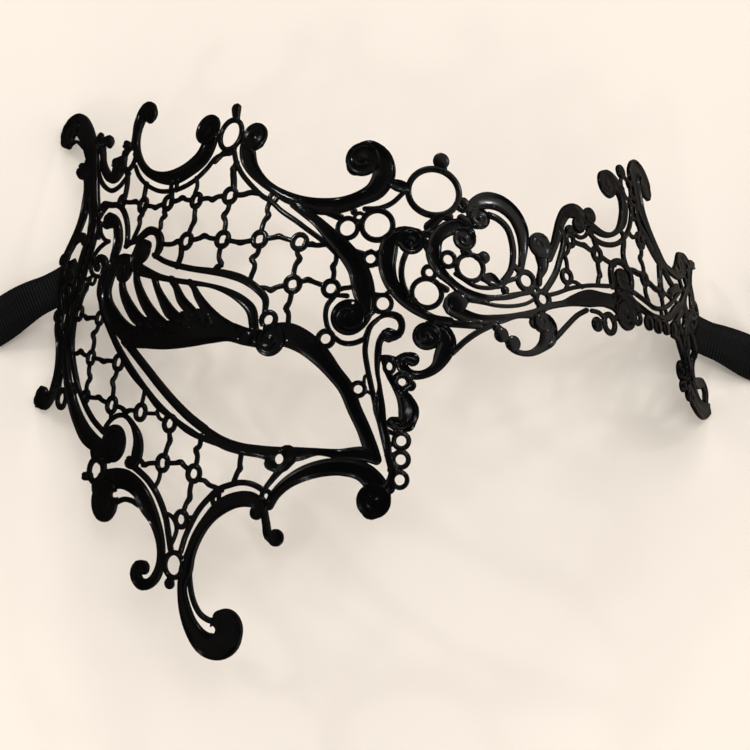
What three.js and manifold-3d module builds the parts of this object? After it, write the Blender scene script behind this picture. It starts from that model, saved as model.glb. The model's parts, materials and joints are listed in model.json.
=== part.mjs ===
// Filigree half mask: one enamelled metal casting, worn with a ribbon at each temple.
// Millimetres, +Z up. The mask lies face up on its lowest scrolls, the hollow side down.
import * as THREE from "three";
import { mergeVertices } from "three/addons/utils/BufferGeometryUtils.js";
import Module from "manifold-3d";

const wasm = await Module();
wasm.setup();
const { Manifold, Mesh } = wasm;

// ---- driving dimensions -------------------------------------------------------------
const METAL = 1.2;              // thickness of the casting
const NET_WIRE = 1.2;           // wire of the forehead and cheek nets
const NET_SKEW = 1.6;           // the bulges lie nearer the cusp than the rings
const NODE = { r: 1.85, w: 1.3 }; // little rings where the net wires meet
const WRAP_ANGLE = 60;          // degrees the face turns away at each temple
const WRAP_WIDTH = 69;          // distance over which it turns
const CROWN = 1.3;              // rounding from brow to cheek, mm per 1000 mm^2
const OUTLINE_TOL = 0.075;       // chord error of each stroke's own outline
const EDGE_TOL = 0.34;          // chord error of the joined outline
const SMALLEST_HOLE = 0.9;      // mm^2, a smaller hole is left filled
const LONGEST_EDGE = 15;        // longest edge left before the flat pattern is wrapped
const RIBBON = { width: 13, thick: 0.8 };

// ---- the flat pattern -----------------------------------------------------------------
// u runs across the face from its middle line, v up the face.
// b: leaf or scroll, stations of u v width      w: wire, its width, then points u v
// r: ring u v, half axes, band                   n: net node u v
// k: net wire u v u v, where its cusp sits, cusp depth, bulge of the two arcs
// c: curled terminal u v radius, where its inner turn starts, sense   d: bead u v radius
// h: pierced hole u v, half axes
const PATTERN = `
# crown, left scroll
b -84.87 78.51 4.4 -86.17 80.43 4.4 -88.55 80.91 4.8 -89.94 77.96 4.41 -90.16 74.81 3.17 -89.59 70.8 3.18 -86.87 66.64 2.2 -83.78 63.16 2.17 -80 60.39 2.5 -75.02 58.24 3.22 -69.99 57.44 4.33 -65.41 58.38 4.46 -61.04 60.77 4.94 -59.2 64.8 5 -60.2 67.8 6
c -60.52 68.31 4.02 -40 1
w 1.18 -88.16 64.76 -85.79 61.51 -82.99 58.92 -80.14 56.95 -76.08 54.89 -72.02 53.9 -67.98 53.67 -63.32 54.67 -59.21 57.06 -56.46 59.5 -53.5 60.05 -51.6 59.9 -50.49 60.91
w 0.9 -71.3 56.4 -71.2 53.6
w 0.9 -69.3 56.4 -69.3 53.36
w 1.3 -71.04 54.09 -70.62 52.3
r -52.3 65.06 3.44 4.04 1.37
b -50.99 69.02 1.7 -51.35 70.6 2.37 -51.49 72.14 2.72
# crown, middle scroll
b -43.13 61.3 3.4 -44.35 63.48 6.2 -46.4 61.2 4.4 -46 58.07 4.54 -44.37 54.54 3.58 -41.26 50.85 2.62 -37.91 48.03 2.3 -34.1 45.42 2.83 -29.48 43.35 3.2 -24.54 41.85 4.16 -19.5 41.91 4 -14.78 43.39 3.8 -11.19 45.35 4.97 -9.17 49.31 5.88 -10.08 53.03 6.4 -12.9 54 8.63 -15.51 53.58 6.8 -16.13 51.85 5
c -44.54 62.93 3.77 250 -1
c -14.51 53.46 4.34 0 1
r -37.54 45.67 1.01 1.04 1.15
w 1.31 -50.7 60.51 -49.47 56.97 -47.26 53.35 -43.9 49.6 -40.69 46.51 -38.29 44.93 -35.09 41.88 -31.06 38.83 -27.99 36.31 -24.93 33.88 -22.69 31.9 -20.85 29.9
w 1.71 -49.44 49.67 -49.75 52.41 -50.12 54.51 -49.37 56.73
d -50.1 55.3 1
w 1.2 -13.9 40.6 -10.41 40.64 -7.27 41.9 -4.2 44.8
b -8 47.2 1.8 -5.4 46.29 3.03 -3.44 45.73 2.4
# brow band down to its curl
b -31.69 43.38 2.6 -28.84 40.79 2.4 -25.73 38.19 2.67 -22 34.2 3.6 -18.69 30.5 4.4 -15.48 25.65 5 -14.13 20.48 5.46 -13.68 15.49 4 -15.71 12.57 4.4 -17.71 12.55 5.8
c -17.54 13.96 4.35 -30 -1
h -16.61 17.36 0.36 0.38
w 1.11 -20.48 20.5 -18.96 21.04 -17.8 21.11 -16.4 21.3
b -20.39 19.32 0.8 -19.03 19.29 1.13 -17.97 19.14 1.2
w 1.21 -21.06 19.16 -22.61 17.3 -23.11 15 -22.65 12.03 -21.73 10.15
w 1.25 -21.18 9.46 -19.44 8.07 -17.5 7.63 -15.37 7.99 -13.79 8.78
# upper net
r -91.76 55.6 1.28 1.59 1.28
r -81.91 52.34 1.46 1.7 1.4
r -71.8 50.66 1.55 1.69 1.36
r -61.47 49.08 1.52 1.71 1.32
n -50.45 48.24
n -51.63 37.03
n -63.62 38.75
n -40.73 35.38
n -29.97 33.38
n -31.4 22.99
n -21.88 21.18
n -37.41 14.87
n -23.05 9.08
k -91.76 55.60 -81.91 52.34 0.63 0.62 -0.16
k -81.91 52.34 -71.80 50.66 0.54 -1.02 0.15
k -71.80 50.66 -61.47 49.08 0.49 1.04 -0.31
k -61.47 49.08 -50.45 48.24 0.50 -0.45 0.45
k -50.45 48.24 -51.63 37.03 0.46 -0.90 0.75
k -61.47 49.08 -63.62 38.75 0.50 1.20 -0.15
k -63.62 38.75 -51.63 37.03 0.50 1.12 -0.30
k -51.63 37.03 -40.73 35.38 0.51 -0.88 0.00
k -40.73 35.38 -29.97 33.38 0.48 1.05 -0.15
k -29.97 33.38 -31.40 22.99 0.39 0.78 -0.62
k -31.40 22.99 -21.88 21.18 0.37 1.46 0.00
k -29.97 33.38 -22.90 32.20 0.46 -0.30 -0.30
k -21.88 21.18 -20.60 30.46 0.57 0.33 -0.42
k -31.40 22.99 -40.77 23.20 0.61 1.00 -0.31
k -31.40 22.99 -32.30 13.08 0.60 -1.00 0.45
k -40.73 35.38 -38.30 45.26 0.61 -0.70 0.60
k -40.73 35.38 -42.74 25.56 0.50 -0.95 1.05
k -51.63 37.03 -53.40 28.80 0.76 1.54 -0.87
w 1.35 -48.8 48.11 -46.3 47.81 -44.19 48 -41.68 47.38
w 1 -62.29 51.1 -61.7 52.98 -62.37 55.38
k -71.80 50.66 -73.57 44.29 0.51 0.51 -0.90
k -81.91 52.34 -84.30 43.26 0.36 0.15 0.90
w 1.4 -81.96 53.96 -81.79 57.95
k -63.62 38.75 -73.03 39.80 0.30 -0.15 0.45
w 1.54 -65.02 37.66 -64.93 35.18 -65.96 32.57
w 1.61 -90.55 56.8 -90.43 59.51 -90.87 62.28 -91.96 64.96
# upper left, scrolls beside the stem
r -91.35 67.78 2.63 3.23 1.49
b -94.51 72.67 2.42 -93.2 72.15 2 -92.63 70.89 1.8
d -94.27 70.15 1.2
b -103.01 75.56 2.97 -104.41 76.79 3 -107.11 76.23 2.6 -105.65 72.98 2.13 -104.49 70.02 2.3 -102.36 67.04 2.58 -99.33 64.37 2.6 -96.52 63.53 2.6 -94.37 65.34 2.8 -94.18 68.08 2.6 -97.01 68.43 2.4 -98.38 68.44 2.6
d -96.8 66.4 2.2
w 1.3 -107.05 69.17 -105.4 66.5 -103.21 63.88 -100.54 61.7 -97.21 60.18 -94.16 60.49 -92 61.8 -90.46 63.17
w 1.2 -108 69.8 -105.8 68.8 -103.7 67.55
r -108.83 76.41 1.44 1.83 1.18
d -109.76 78.88 1.74
w 1.1 -109.63 75.26 -107.59 74.32 -105.6 74.6
w 1.2 -109 73.8 -107.98 70.96 -106.4 68.6
# temple leaf and stem
b -127.28 82.62 3.6 -129.69 84.83 5.4 -130.9 88 6.6 -127.52 88.38 6.8 -123.18 86.88 6.08 -118.32 82.88 5.9 -114.03 77.73 5.63 -110.35 71.75 5 -108.2 65.5 5.2 -106 60 4.6 -104.25 55.05 4.4 -104.54 51.49 3.4
c -129.2 86.34 4.4 120 1
w 1 -126.95 81.64 -124.05 82.17 -121.02 80.57 -118.12 78.42
b -113.2 73 3 -111.73 68.38 3.4 -110.2 64.5 3.6 -109.8 60 3.67 -110.22 56.01 3.21 -111.62 52.51 2.79 -113.58 49.07 3.2 -116.05 46.2 2.6
b -116.72 71.53 3.85 -115.01 70.56 4.75 -112.31 69.83 4.6
b -107.4 48 2.2 -108.75 49.95 2.2 -111.5 49.7 2.4 -114.42 48.43 2.6 -116 45.2 2.6 -116.9 42 2.4 -117 38.5 2.6 -116.6 34 2.8 -115.11 30.1 2.6 -115.61 26.41 3.4 -113.76 22.04 4.2 -113.15 17 4.2 -114.07 13.05 3.2 -115.51 9.55 3
d -117.76 45.37 1.71
c -113.07 39.24 2.3 180 -1
b -113.5 36.8 2.4 -113 34.5 3.6 -112 31.5 2.6 -112.2 29.5 1
r -116.99 29.51 1.23 1.25 1.17
b -116.91 25.72 1.19 -115.77 25.13 2.2 -114.81 23.8 3
b -105.22 52.12 2 -105.23 48.43 2.1 -106.45 44.98 2.66 -107.51 42 2.53 -108.66 38.52 2.37 -109.13 34.92 2.2 -110.29 31.02 2.3 -110.9 27 2.5 -111.5 22.6 4 -111 18 3.4 -109.61 13.59 2.7 -108.49 9.6 3.04 -107.04 6.77 3.4 -105.41 3.29 3.75 -102.59 -1.07 4.16 -98.82 -5.43 4.75 -94.07 -8.67 4.3 -89.53 -11.3 5.4 -87 -9.4 7
c -87.06 -9.15 4.78 -60 1
w 1.9 -102.6 51.5 -102.71 47.41 -103.78 43.39 -105.09 39.47 -106.28 35.52 -107.3 31.5 -107.76 27.42 -108.08 23.49 -108.01 19.58 -107.13 16.05 -105.88 12.63 -104.4 9.29
w 1 -106.9 44.3 -104.2 43.6
w 1 -107.3 42.2 -104.6 41.8
w 1 -108 39.9 -105.3 39.5
w 1 -108.6 37.7 -105.8 37.5
w 1 -108.9 35.4 -105.73 35.03
w 1 -109.6 33.6 -106.32 33.37
w 1.52 -104.28 9.46 -102.93 6.81 -101.34 4.49 -99.33 1.72 -95.81 -2.13 -91.81 -5.35
r -105.07 7.71 1.1 1.11 1.18
b -123.77 7.44 4 -122.34 8.14 6.24 -119.62 6.39 4.4 -116.8 7.5 3.2 -115.51 9.75 2.8
r -111.43 5.97 2.1 2.29 1.56
# arch and curls left of the eye
w 1.62 -101.7 56.25 -100.46 57.11 -99.05 56.84 -97.03 55.99 -94.15 55.33 -91.75 54.1 -89.39 51.54 -87.72 48.46 -86.81 45.05 -86.76 42.9
w 1.1 -101.4 53.4 -100.28 54.51 -99.18 55.39 -97.17 56.48
w 1.5 -87.03 42.22 -85 42.83 -82.3 42.59
b -97.13 51.63 4.04 -95.14 51.07 4.03 -92.62 49.69 2.88 -91.13 46.49 3.12 -90.87 43 3.29 -92.17 39.68 2.2
d -96.74 51.48 2.31
w 1.1 -102.3 52.6 -100.6 51.8 -99.77 48.97 -97.66 46.6 -95.3 45.35
w 1.2 -95.37 45.5 -97.72 45.07 -100.12 43.99 -101.9 42.06 -102.29 39.5 -101.06 37.64 -99.15 36.72 -96.8 36
w 1 -102.6 50 -101.66 48.2 -100.28 47.51 -99.57 48.87
w 0.9 -101.6 51 -101.4 49.4 -100.6 48.2
b -99.11 38.97 2.2 -99.8 40.5 2 -98.58 41.53 2 -96.39 40.5 2.4 -95.2 38.4 2.6 -95.9 35.5 2.6 -96.42 32 2.3 -95.33 28.67 1.8 -94.6 26.2 1.6 -92.21 23.05 1.7 -88.66 18.06 1.71 -84.21 12.46 1.91 -79.89 7.61 2.04 -74.88 2.72 1.6 -70.12 -2.03 1.87 -64.92 -5.89 1.42 -59.92 -9.34 1.75 -55.61 -11.6 1.5 -50.51 -12.85 2.88
r -100.73 36 1.29 1.24 0.86
w 1 -106 36.8 -104.64 37.18 -103.08 36.5 -103.1 34.25 -104.61 32.5 -105.48 30.36 -106.15 28.97
w 0.9 -102.28 36.96 -103.18 36.24
r -105.68 27.89 1.51 1.7 1.24
r -95.47 24.6 1.48 1.59 1.18
r -98.29 14.6 1.52 1.67 1.11
r -99.74 4.7 1.24 1.36 1.3
n -85.97 11.33
n -88.19 0.73
n -76.64 -2.74
n -66.18 -6.88
n -68.61 -16.18
n -58.45 -19.77
n -62.85 -30.17
k -105.68 27.89 -95.47 24.60 0.42 -0.81 0.17
k -95.47 24.60 -98.29 14.60 0.42 -1.50 0.97
k -98.29 14.60 -107.34 17.20 0.61 -1.16 0.29
k -98.29 14.60 -85.97 11.33 0.47 -0.40 0.25
k -98.29 14.60 -99.74 4.70 0.53 1.05 -0.75
k -99.74 4.70 -88.19 0.73 0.48 0.83 -0.22
k -85.97 11.33 -88.19 0.73 0.45 -1.28 0.66
k -88.19 0.73 -76.64 -2.74 0.52 -0.79 0.43
w 1 -76.33 -1.13 -75.68 0.7 -75.2 2.6
w 1 -75.1 -3.18 -72.76 -3.56 -70.88 -3.73 -70 -2.8
w 0.9 -70.63 -3.54 -69.69 -5.18 -67.39 -6.17
k -66.18 -6.88 -68.61 -16.18 0.41 1.20 -0.15
k -68.61 -16.18 -58.45 -19.77 0.55 1.59 -0.14
k -58.45 -19.77 -56.10 -10.93 0.62 0.69 -0.71
k -68.61 -16.18 -77.24 -14.20 0.76 1.26 -0.26
w 1 -69.29 -17.55 -69.9 -19.85 -71.5 -21.8
w 1.19 -57.46 -21.3 -55.13 -21.77 -53.9 -22.86 -52.16 -23.53 -50.17 -24.49
k -62.85 -30.17 -58.45 -19.77 0.49 -0.90 0.34
k -44.47 -16.37 -46.66 -22.66 0.50 0.75 -0.15
w 1 -61.28 -29.89 -59.19 -29.99
# arch over the stem's curl
b -91.61 -5.76 1.2 -89.27 -3.53 1.2 -85.99 -2.37 1.29 -82.54 -2.87 1.3 -79.46 -5.49 1.58 -77.36 -9.24 2.79 -77.69 -12.94 3.56 -79.2 -15.4 2.6 -80.6 -14.6 3.2
w 1 -88.32 -0.99 -88.39 -2.61
# big eye scroll and the lash fan
b -84.59 38.27 2.4 -87.69 38.74 3.1 -91 37.8 3.3 -92.53 34.75 3.4 -93.43 31.5 3.4 -92.41 27.9 3.8 -89.81 24.03 4.8 -85.6 20.18 4.83 -81 17.2 5.4 -74.91 16.16 6.2 -68 15.34 7.2 -60.02 14.85 7.4 -53.06 13.99 5.8 -47.93 13.18 4.66 -43.58 11.52 4.3 -40 10.58 4.36
c -86.44 35.47 3.2 80 1
w 2 -87.11 32.99 -86.18 30.11 -84.45 26.59 -81.42 22.67 -78.5 20
b -81.49 34.48 1.7 -80.73 31.63 2.05 -78.65 27.82 2.5 -75.7 23.75 2.97 -72.27 20.36 3 -69.13 18.22 2.4
b -74.01 31.1 1.8 -72.44 28.04 1.83 -69.94 24.35 2.49 -67.14 20.86 3.2 -63.81 18.66 2.4
b -67.71 29.6 1.86 -65.77 27.18 1.8 -63.64 23.63 2.53 -60.84 20.77 2.7 -58 18.4 2.4
b -61.23 27.72 1.62 -59.77 26.02 1.5 -58.14 23.44 2.04 -55.36 20.05 2.6 -51.74 16.47 3.2 -47.59 13.9 3
b -86.95 32.18 1.95 -86 29.75 2.3 -83.74 26.32 2.88 -80.49 22.55 3.36 -77.34 19.96 3.2
b -78.3 40.24 3.4 -80.2 39.7 4.8 -82.2 38.2 3.6 -81 35.25 3.4 -76.98 33.04 2.63 -71.96 30.91 1.8 -65.99 28.94 1.4 -60.02 27.24 1.4 -54.96 25.81 1.13 -49.91 23.76 1.58 -45.27 20.96 2.29 -42.07 17.67 2.67 -41.28 13.79 2.4 -41 11.5 2.6
c -79.99 39.29 3.27 200 -1
b -83 42.8 1.3 -80.44 43.63 2 -77.82 44.39 2.25 -75.04 43.44 2.1 -73.18 41.27 2.42 -73.08 38.79 2.26 -74.38 36.88 1.5
b -74.89 37.32 1.4 -70.68 34.81 1.46 -65.66 32.71 1.6 -59.97 30.79 1.54 -54.96 29.44 1.71 -49.97 27.97 1.96 -45.13 25.98 2.08 -40.97 23.12 2 -38.36 19.89 1.74 -38.63 16.02 1.1
w 2.25 -81.63 14.48 -74.78 7.92 -69.77 2.94 -64.9 -1.69 -59.86 -6.03 -54.84 -9.68
b -55.84 -8.96 1.75 -50.04 -13.08 2.83 -44.99 -15.08 2.87 -39.93 -16.21 2.95 -34.99 -17.27 3.6 -29.99 -17.54 3.33 -25.01 -17.28 1.75 -20.01 -18 2.4 -13.96 -18.28 3.4 -11.34 -19.57 2.4
b -36.6 -19.2 3.4 -34.46 -19.62 4.2 -32.44 -17.72 5.01
h -34.57 -18.34 1.16 1.19
d -43.27 11.16 1.9
h -39.08 13.06 0.49 0.5
# nose-side band of the eye
b -37.5 11.16 5.2 -32.56 10.76 5.88 -28.09 8.47 5.59 -24.38 5.13 4.9 -21.11 1.06 3.87 -18.21 -2.88 3.7 -16.33 -7.72 3.4 -14.22 -12.47 3.3 -12.55 -17.11 3.4 -11.44 -19.38 2.6
c -36.97 9.89 3.89 60 1
r -15.46 -3.2 1.59 1.56 1.1
w 0.8 -14 -2.16 -13.93 -0.36 -12.74 0.43
w 0.8 -14.52 -4.32 -13.19 -3.83 -12.42 -4.4
# nose strip
b -13.6 8.8 1.62 -12.54 11.56 1.3 -10.4 13.58 0.96 -8.21 14.42 1.5 -5.9 13.6 1.8 -5.22 11.6 1.67 -5.99 9.68 1.96 -8.23 9.39 3.53
w 1.33 -13.29 9.47 -13.78 6 -13.21 1.53 -12.22 -3.43 -11.39 -7.43
b -9 9.6 2.4 -10.29 8.14 1.66 -10.81 4.98 1.67 -10.99 0.99 1.17 -10.46 -3 1.17 -10.7 -7 2.91 -10.06 -10.98 2.3 -9.21 -14.94 2.2 -8.54 -18.91 1.8 -7.66 -22.99 2.15 -8.6 -26 3
r -9.59 16.99 2.02 2.11 1.13
w 1.1 -12.7 14.25 -11.34 15.32 -10.69 15.04
w 1 -12.05 12.05 -10.61 13.41
b -2.86 3.59 3.24 -4.58 3.99 2.6 -6.6 3.13 2.4 -8.44 4.06 1.4 -10.03 4.15 1.2
b -9.51 3.87 1.6 -8.48 0.46 1.6 -6.75 -2.69 1.96 -4.98 -5.39 3.46 -3.9 -8.61 4.87 -5.2 -11.2 3.4 -7.62 -11.11 2.8
r -8.22 1.98 1.16 1.5 0.98
r -5.33 -1.7 1.74 1.75 1.71
d -3.4 -2.53 1.31
b -4.58 -6.03 3.83 -3.89 -8.8 4.83 -4.31 -11.28 4
r -5.64 -15.28 1.72 1.76 1.17
r -5.8 -19.56 1.76 1.79 1.2
r -6.09 -24.16 1.73 1.77 1.14
w 1.1 -8.6 -13 -6.58 -14.01
w 1.2 -8.6 -11.2 -6.6 -12.8
w 1.2 -8.8 -16.4 -7.3 -15.84
w 1.2 -8.99 -18.55 -7.28 -18.43
w 1.4 -8.28 -21.85 -7 -22
# cheek scroll, left
b -89.5 -23.4 4 -92 -22.6 5 -92.15 -18.57 5.2 -87 -17.98 5.33 -82.37 -18.71 5 -77.56 -21.49 4.51 -74.49 -25.59 4.87 -71.69 -29.86 3.37 -70.04 -34.96 2.5 -70.29 -39.55 2.4 -71.9 -42.6 2.71 -74.61 -44.34 2.58 -77.96 -44.3 3.08 -79.72 -41.8 3.6 -78.59 -40.02 2.8 -76.46 -40.58 3.47
c -90.97 -22.96 5.33 100 1
w 1.37 -88.5 -24.6 -85.94 -23.85 -83.01 -23.47 -80.07 -24.18 -77.37 -25.54
w 1.62 -79 -16 -76.84 -17.45 -74.07 -19.59 -71.44 -22.48 -69.24 -26.12 -67.83 -29.88 -67.26 -33.49 -66.74 -36.98
w 1 -67.94 -28.32 -66.34 -28.99 -64.99 -30.35 -64.46 -32.42 -65.41 -34.39 -66.55 -35.9
w 1 -65.36 -29.32 -64.21 -29.52
r -94.44 -14.99 3.02 2.92 1.71
b -99.45 -15.86 2.26 -97.23 -16.13 2.3
b -95.99 -10.08 1.6 -94.47 -12.05 2.4 -92.18 -13.02 2
b -94.92 -17.9 2.2 -94.55 -19.87 2.6
w 1.6 -90.9 -13.4 -90.88 -15.84
r -66.02 -40.72 2.96 2.93 1.31
b -67.26 -43.72 1.8 -67.69 -44.82 2.99
# cheek scroll, right
b -40.69 -30.32 3.4 -39.8 -28.6 3 -42.07 -27.21 3.66 -46 -26.97 3.75 -50.54 -28.32 3.7 -54.44 -30.97 2.97 -57.82 -34.45 2.96 -60.29 -38.43 3 -61.92 -41.81 4.02 -63.53 -46 2.62 -63.27 -50.48 3.41 -61.62 -55.19 4.38 -58.26 -59.09 5.66 -53.49 -60.39 5.87 -49.75 -58.95 5.4 -48.75 -56.08 5 -50.09 -54.3 5.2 -52.45 -53.97 4.2
c -50.83 -56.34 4.73 -60 1
w 1.41 -60.9 -40.5 -61.02 -45.03 -60.41 -49.03 -58.58 -52.38 -55.84 -54.09 -53.5 -54.3
w 1.41 -63.42 -37.69 -61.87 -34.57 -59.75 -31.49 -56.87 -28.15 -53.94 -25.89 -51.3 -24.2 -47.9 -23.39 -45.02 -23.06 -42.09 -23.54 -39.58 -24.77 -38.67 -25.57
b -38.6 -25.2 1.1 -36.18 -22.72 1.41 -34.13 -20.68 1.8
r -38.07 -26.66 1.13 1.23 1.14
r -51.96 -26.4 0.86 0.92 0.92
w 1 -53.2 -26 -52.77 -27.59
w 1 -50.86 -25 -51.1 -26.57
b -38.8 -27.6 1.6 -38.6 -30.5 1.9 -38.23 -32.96 2.01 -37.72 -35.67 2.42 -35.82 -36.24 3.85
d -35.86 -36.3 2.02
b -37.37 -28.82 2.4 -35.72 -26.49 2.49 -32.89 -24.16 2.84 -28.91 -22.24 3.5 -23.98 -21.05 3.96 -19.03 -20.97 4.2 -14.65 -22.16 4.6 -11.48 -25.45 5.2 -10.85 -28.88 5.4 -12.67 -30.64 5
c -12.12 -28.82 4.04 60 -1
# centre
r 3.18 44.95 6.39 5.99 1.57
w 2.4 5.64 50.89 5.3 53
d 5.37 53.08 2.09
r -10.84 36.39 3.76 3.74 1.4
r -18.03 35.91 2.45 2.51 1.19
r -15.19 38.58 1.13 1 0.88
d -16.5 40 0.9
r -12.42 28 1.68 1.69 1.13
w 1.6 -14.6 36.35 -15.43 36.14
w 2 -14.27 28.99 -16.34 29.73
w 1.6 -10.93 29.09 -9.98 29.61
w 1.17 -13.24 29.4 -12.28 29.84
w 1.2 -19.52 33.96 -20.2 33.4
w 1.4 -8.54 33.51 -9.14 33.11
w 1.4 -10.99 26.99 -11.17 26.69
w 1.2 -11.57 19.25 -10.32 19.02
w 1.1 -8.64 19.45 -7.8 20
b -2.18 32.9 5.6 -4.42 33.89 4.2 -7.29 32.71 4.2 -8.32 29.42 4.66 -8.51 25.5 4.16 -7.33 21.44 3.4 -4.58 17.73 2.8 -1.32 15.22 2.4 2.1 13.51 1.9 6 12.8 2.2
c -2.73 32.37 3.3 150 -1
w 1.45 -3.9 29.6 -4.9 26.94 -5.2 24 -4.7 21.2 -3.8 19.2
r 0.7 19.58 3.54 3.53 1.28
r 1.43 24.63 1.48 1.54 1.18
w 1.4 -3.2 17.8 -2.12 17.71
w 1.6 3.87 21.43 5.4 20.6
w 1.2 2.63 25.47 3.6 26.2
b 10.2 32.9 3.6 11.84 34.16 3 9.6 36.4 3.8 6.38 35.8 3.8 3.49 33.35 3.5 2.55 29.7 3.88 3.64 25.52 3 6.59 22.52 2.04 9.53 20.24 2.4 12.95 19.06 2.5 17.01 19.33 1.4 20.95 20.08 1.6 24.68 21.16 1.29 28 22.2 1.4
c 10.39 33.43 2.9 0 1
r 6.03 28.03 1.7 1.77 1.14
r 11.45 26.34 3.32 3.29 1.24
w 1.4 7.14 26.67 8.18 26.96
w 2.4 10.3 30.47 10.91 30.04
w 1.8 13.44 29.08 14.35 29.26
d 15 29.11 1.54
w 1 7.7 24.6 9.57 23.46 12.4 21.9 16.01 21.69 19.6 22.6
b 14.6 23.93 1.6 16.23 23.96 3.2 18.58 22.76 2.17 20.84 23.83 1.3 23.6 24.9 1.2
w 1.2 19.07 23.38 20.5 20.4
r 26.15 24.57 2.22 2.16 1.37
r 30.72 20.54 1.91 1.9 1.39
r 28.55 22.28 1.07 1.09 1.14
w 1.2 23.95 27.33 24.71 26.01
b 9.5 18.1 2.6 7.67 18.64 3.4 6.15 16.69 3.6 8.8 14.8 3.2 12.98 13.67 2.7 18.01 14.14 2.4 22.98 15.58 1.46 28.31 16.79 2.2 31.7 18.75 1.84 37.27 20.43 1.76 41.11 21.82 3 46 23.1 4.4 52 23.77 3.67 57 23.6 4.8 61 22 7.6
w 0.92 10.76 18.24 14.05 17.99 18.01 17.55 22.07 17.84 26.16 18.98 29.24 20.91
d 8 17.6 2.4
b 13.62 38.49 4.6 13 41.6 3.6 16.05 43.65 4.2 20.23 43.48 4.29 24 41 4.04 25.96 36.99 3.67 25.99 33 2.59 25.39 29.48 1.87 24.8 26.8 1.6
c 14.55 38.97 2.7 160 -1
w 1.6 16.94 40.13 19.3 39.45 21.89 37.25 23.02 33.01 22.86 29.47 21.94 26.4 19.91 23.76
w 2.4 10.6 42.8 11.8 41.4
w 2.2 9.8 38.6 11.6 37.8
w 1.6 5.6 38.6 7 38.8
w 2 1.54 34.37 0.07 33.93
b 0.2 32.6 1.8 1.49 30.25 2
b -2.21 9.92 1 0.82 9.42 6.8 3.6 10.4 4.6 5.15 7.97 4.6 4.13 4.68 4.13 2.3 1.68 2.55 -0.76 0.06 2.08 -3.76 0.28 2.4 -5.4 2.4 2.8 -4.41 3.91 2.8 -2.88 3.65 3.28
c 0.45 9.19 3.33 60 1
b 5.4 12.45 1.8 9.01 12.35 1.8 13 12.6 2.4
w 1.5 6.48 5.48 9.61 8.39 12.89 10.77 16.6 12.8
d 18.72 10.51 1.81
d 21.69 8.66 1.93
w 2 17.4 12.23 19.01 11.31
b 28.2 14.57 3.4 30.6 15.4 3.8 32.53 13.97 3.6 31.67 11.17 4.67 29.88 8.85 2.79 27.06 7.02 1.7 23.99 6.57 1.33 21.53 7.31 1.4 20.15 9.03 1.2
c 30.2 14.8 2.7 40 -1
w 1.36 32.09 9.64 34.69 11.99 38.05 15.14 41.63 18.13 44.85 19.87
w 1.6 29.7 18.62 30 17
# right brow
b 31.23 34.47 5.8 31.45 31.5 4.2 31.32 28.38 2.67 30.23 26.16 1.66
c 30.98 34.23 3.19 180 -1
b 45.08 41.54 3.6 47 44 3.2 44.61 45.31 4 41.32 44.7 3.38 38.69 41.7 2.75 37.08 38.14 2.6 35.5 34.71 2.2 33.53 31.16 2
c 45.03 42.02 2.1 60 1
w 1.61 39 38.8 38.81 35.95 37.27 31.97 35.33 27.8 32.85 24.33 31.16 22.32
w 1 37.6 38.6 39.4 38
c 49.77 45.37 2.18 200 -1
w 2.6 46.6 44.6 48.87 45.71
w 1.06 42.44 40.14 44.51 38.67 47 39.4 48.6 41.2
c 41.59 39.61 1.69 270 1
r 41.27 37.25 1.27 1.56 1.27
r 51 35.44 1.53 1.65 1.42
r 38.9 27.48 1.5 1.61 1.29
k 41.27 37.25 51.00 35.44 0.51 0.59 -0.15
w 1.6 50.35 39.51 51.14 37.23
k 51.00 35.44 50.10 27.50 0.69 0.88 -0.24
w 1.24 52.3 35.26 54.92 34.51 58.02 33.98
w 1 39.29 28.75 39.29 31.26 38.8 32.9
w 1 38.8 32.9 40.02 33.94 40.79 36.13
w 0.9 38.06 24.02 39.09 25.49 40.38 26.37 41.99 26.47 44.13 25.61
w 1.1 32.8 21.9 35.5 22.8 39.5 24.5 43 25.6 48 26.8 54.8 27.9 57 28.4
b 48.2 43.6 2.6 50.92 42.25 2.29 54.49 41.55 1.75 58.03 42.11 1.38 61.38 43.88 1.58 64.28 46.74 2.76 66.25 50.68 3.2 66.6 54.6 4 63.87 57.5 4.2 60.67 58.66 3.6 57.98 56.83 3.4 59.6 54.8 3.6
c 59.78 56.28 3.74 60 1
w 1.37 48.4 41.2 50.42 39.54 53.5 38.87 57 39.2 61.03 40.54 64.56 42.82 67.37 45.63 69.23 48.43 70.47 51.39 70.6 54.5
w 1.4 48.4 43 49.67 40.51
h 48.5 42.12 0.3 0.31
w 1.65 64.2 43.6 63.77 40.9 62.92 38.72 62.71 37.03 63.34 35.22
w 1.2 63 44.6 64.55 42.66
w 1.88 56.23 28.2 56.06 31.54 57.03 33.97 59.51 35.3 62.47 35.23 64.68 33.67 65.33 31.29 64.53 28.59
c 60.54 30.75 2.94 -60 1
b 57.86 30.3 2.4 59 28.4 4.4 62.6 27.39 4.4
c 60.8 21.8 4.3 100 -1
b 57 25 3.4 61 25.6 6 64.96 24.86 3.6
r 53.45 17.95 2.11 2.31 1.58
c 48.66 17.01 1.91 0 1
w 1.1 46.86 20.14 49.46 20.09 51.76 19.01
w 1.2 54.99 19.15 57 20.4
w 1.6 50 17.6 51.4 17.8
# right crown
r 69.79 57.75 2.39 3.16 1.15
c 68.61 62.08 1.94 270 1
w 1.6 68.8 61.4 69.2 60.8
w 2.4 67.25 56.65 66.2 55.6
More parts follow.
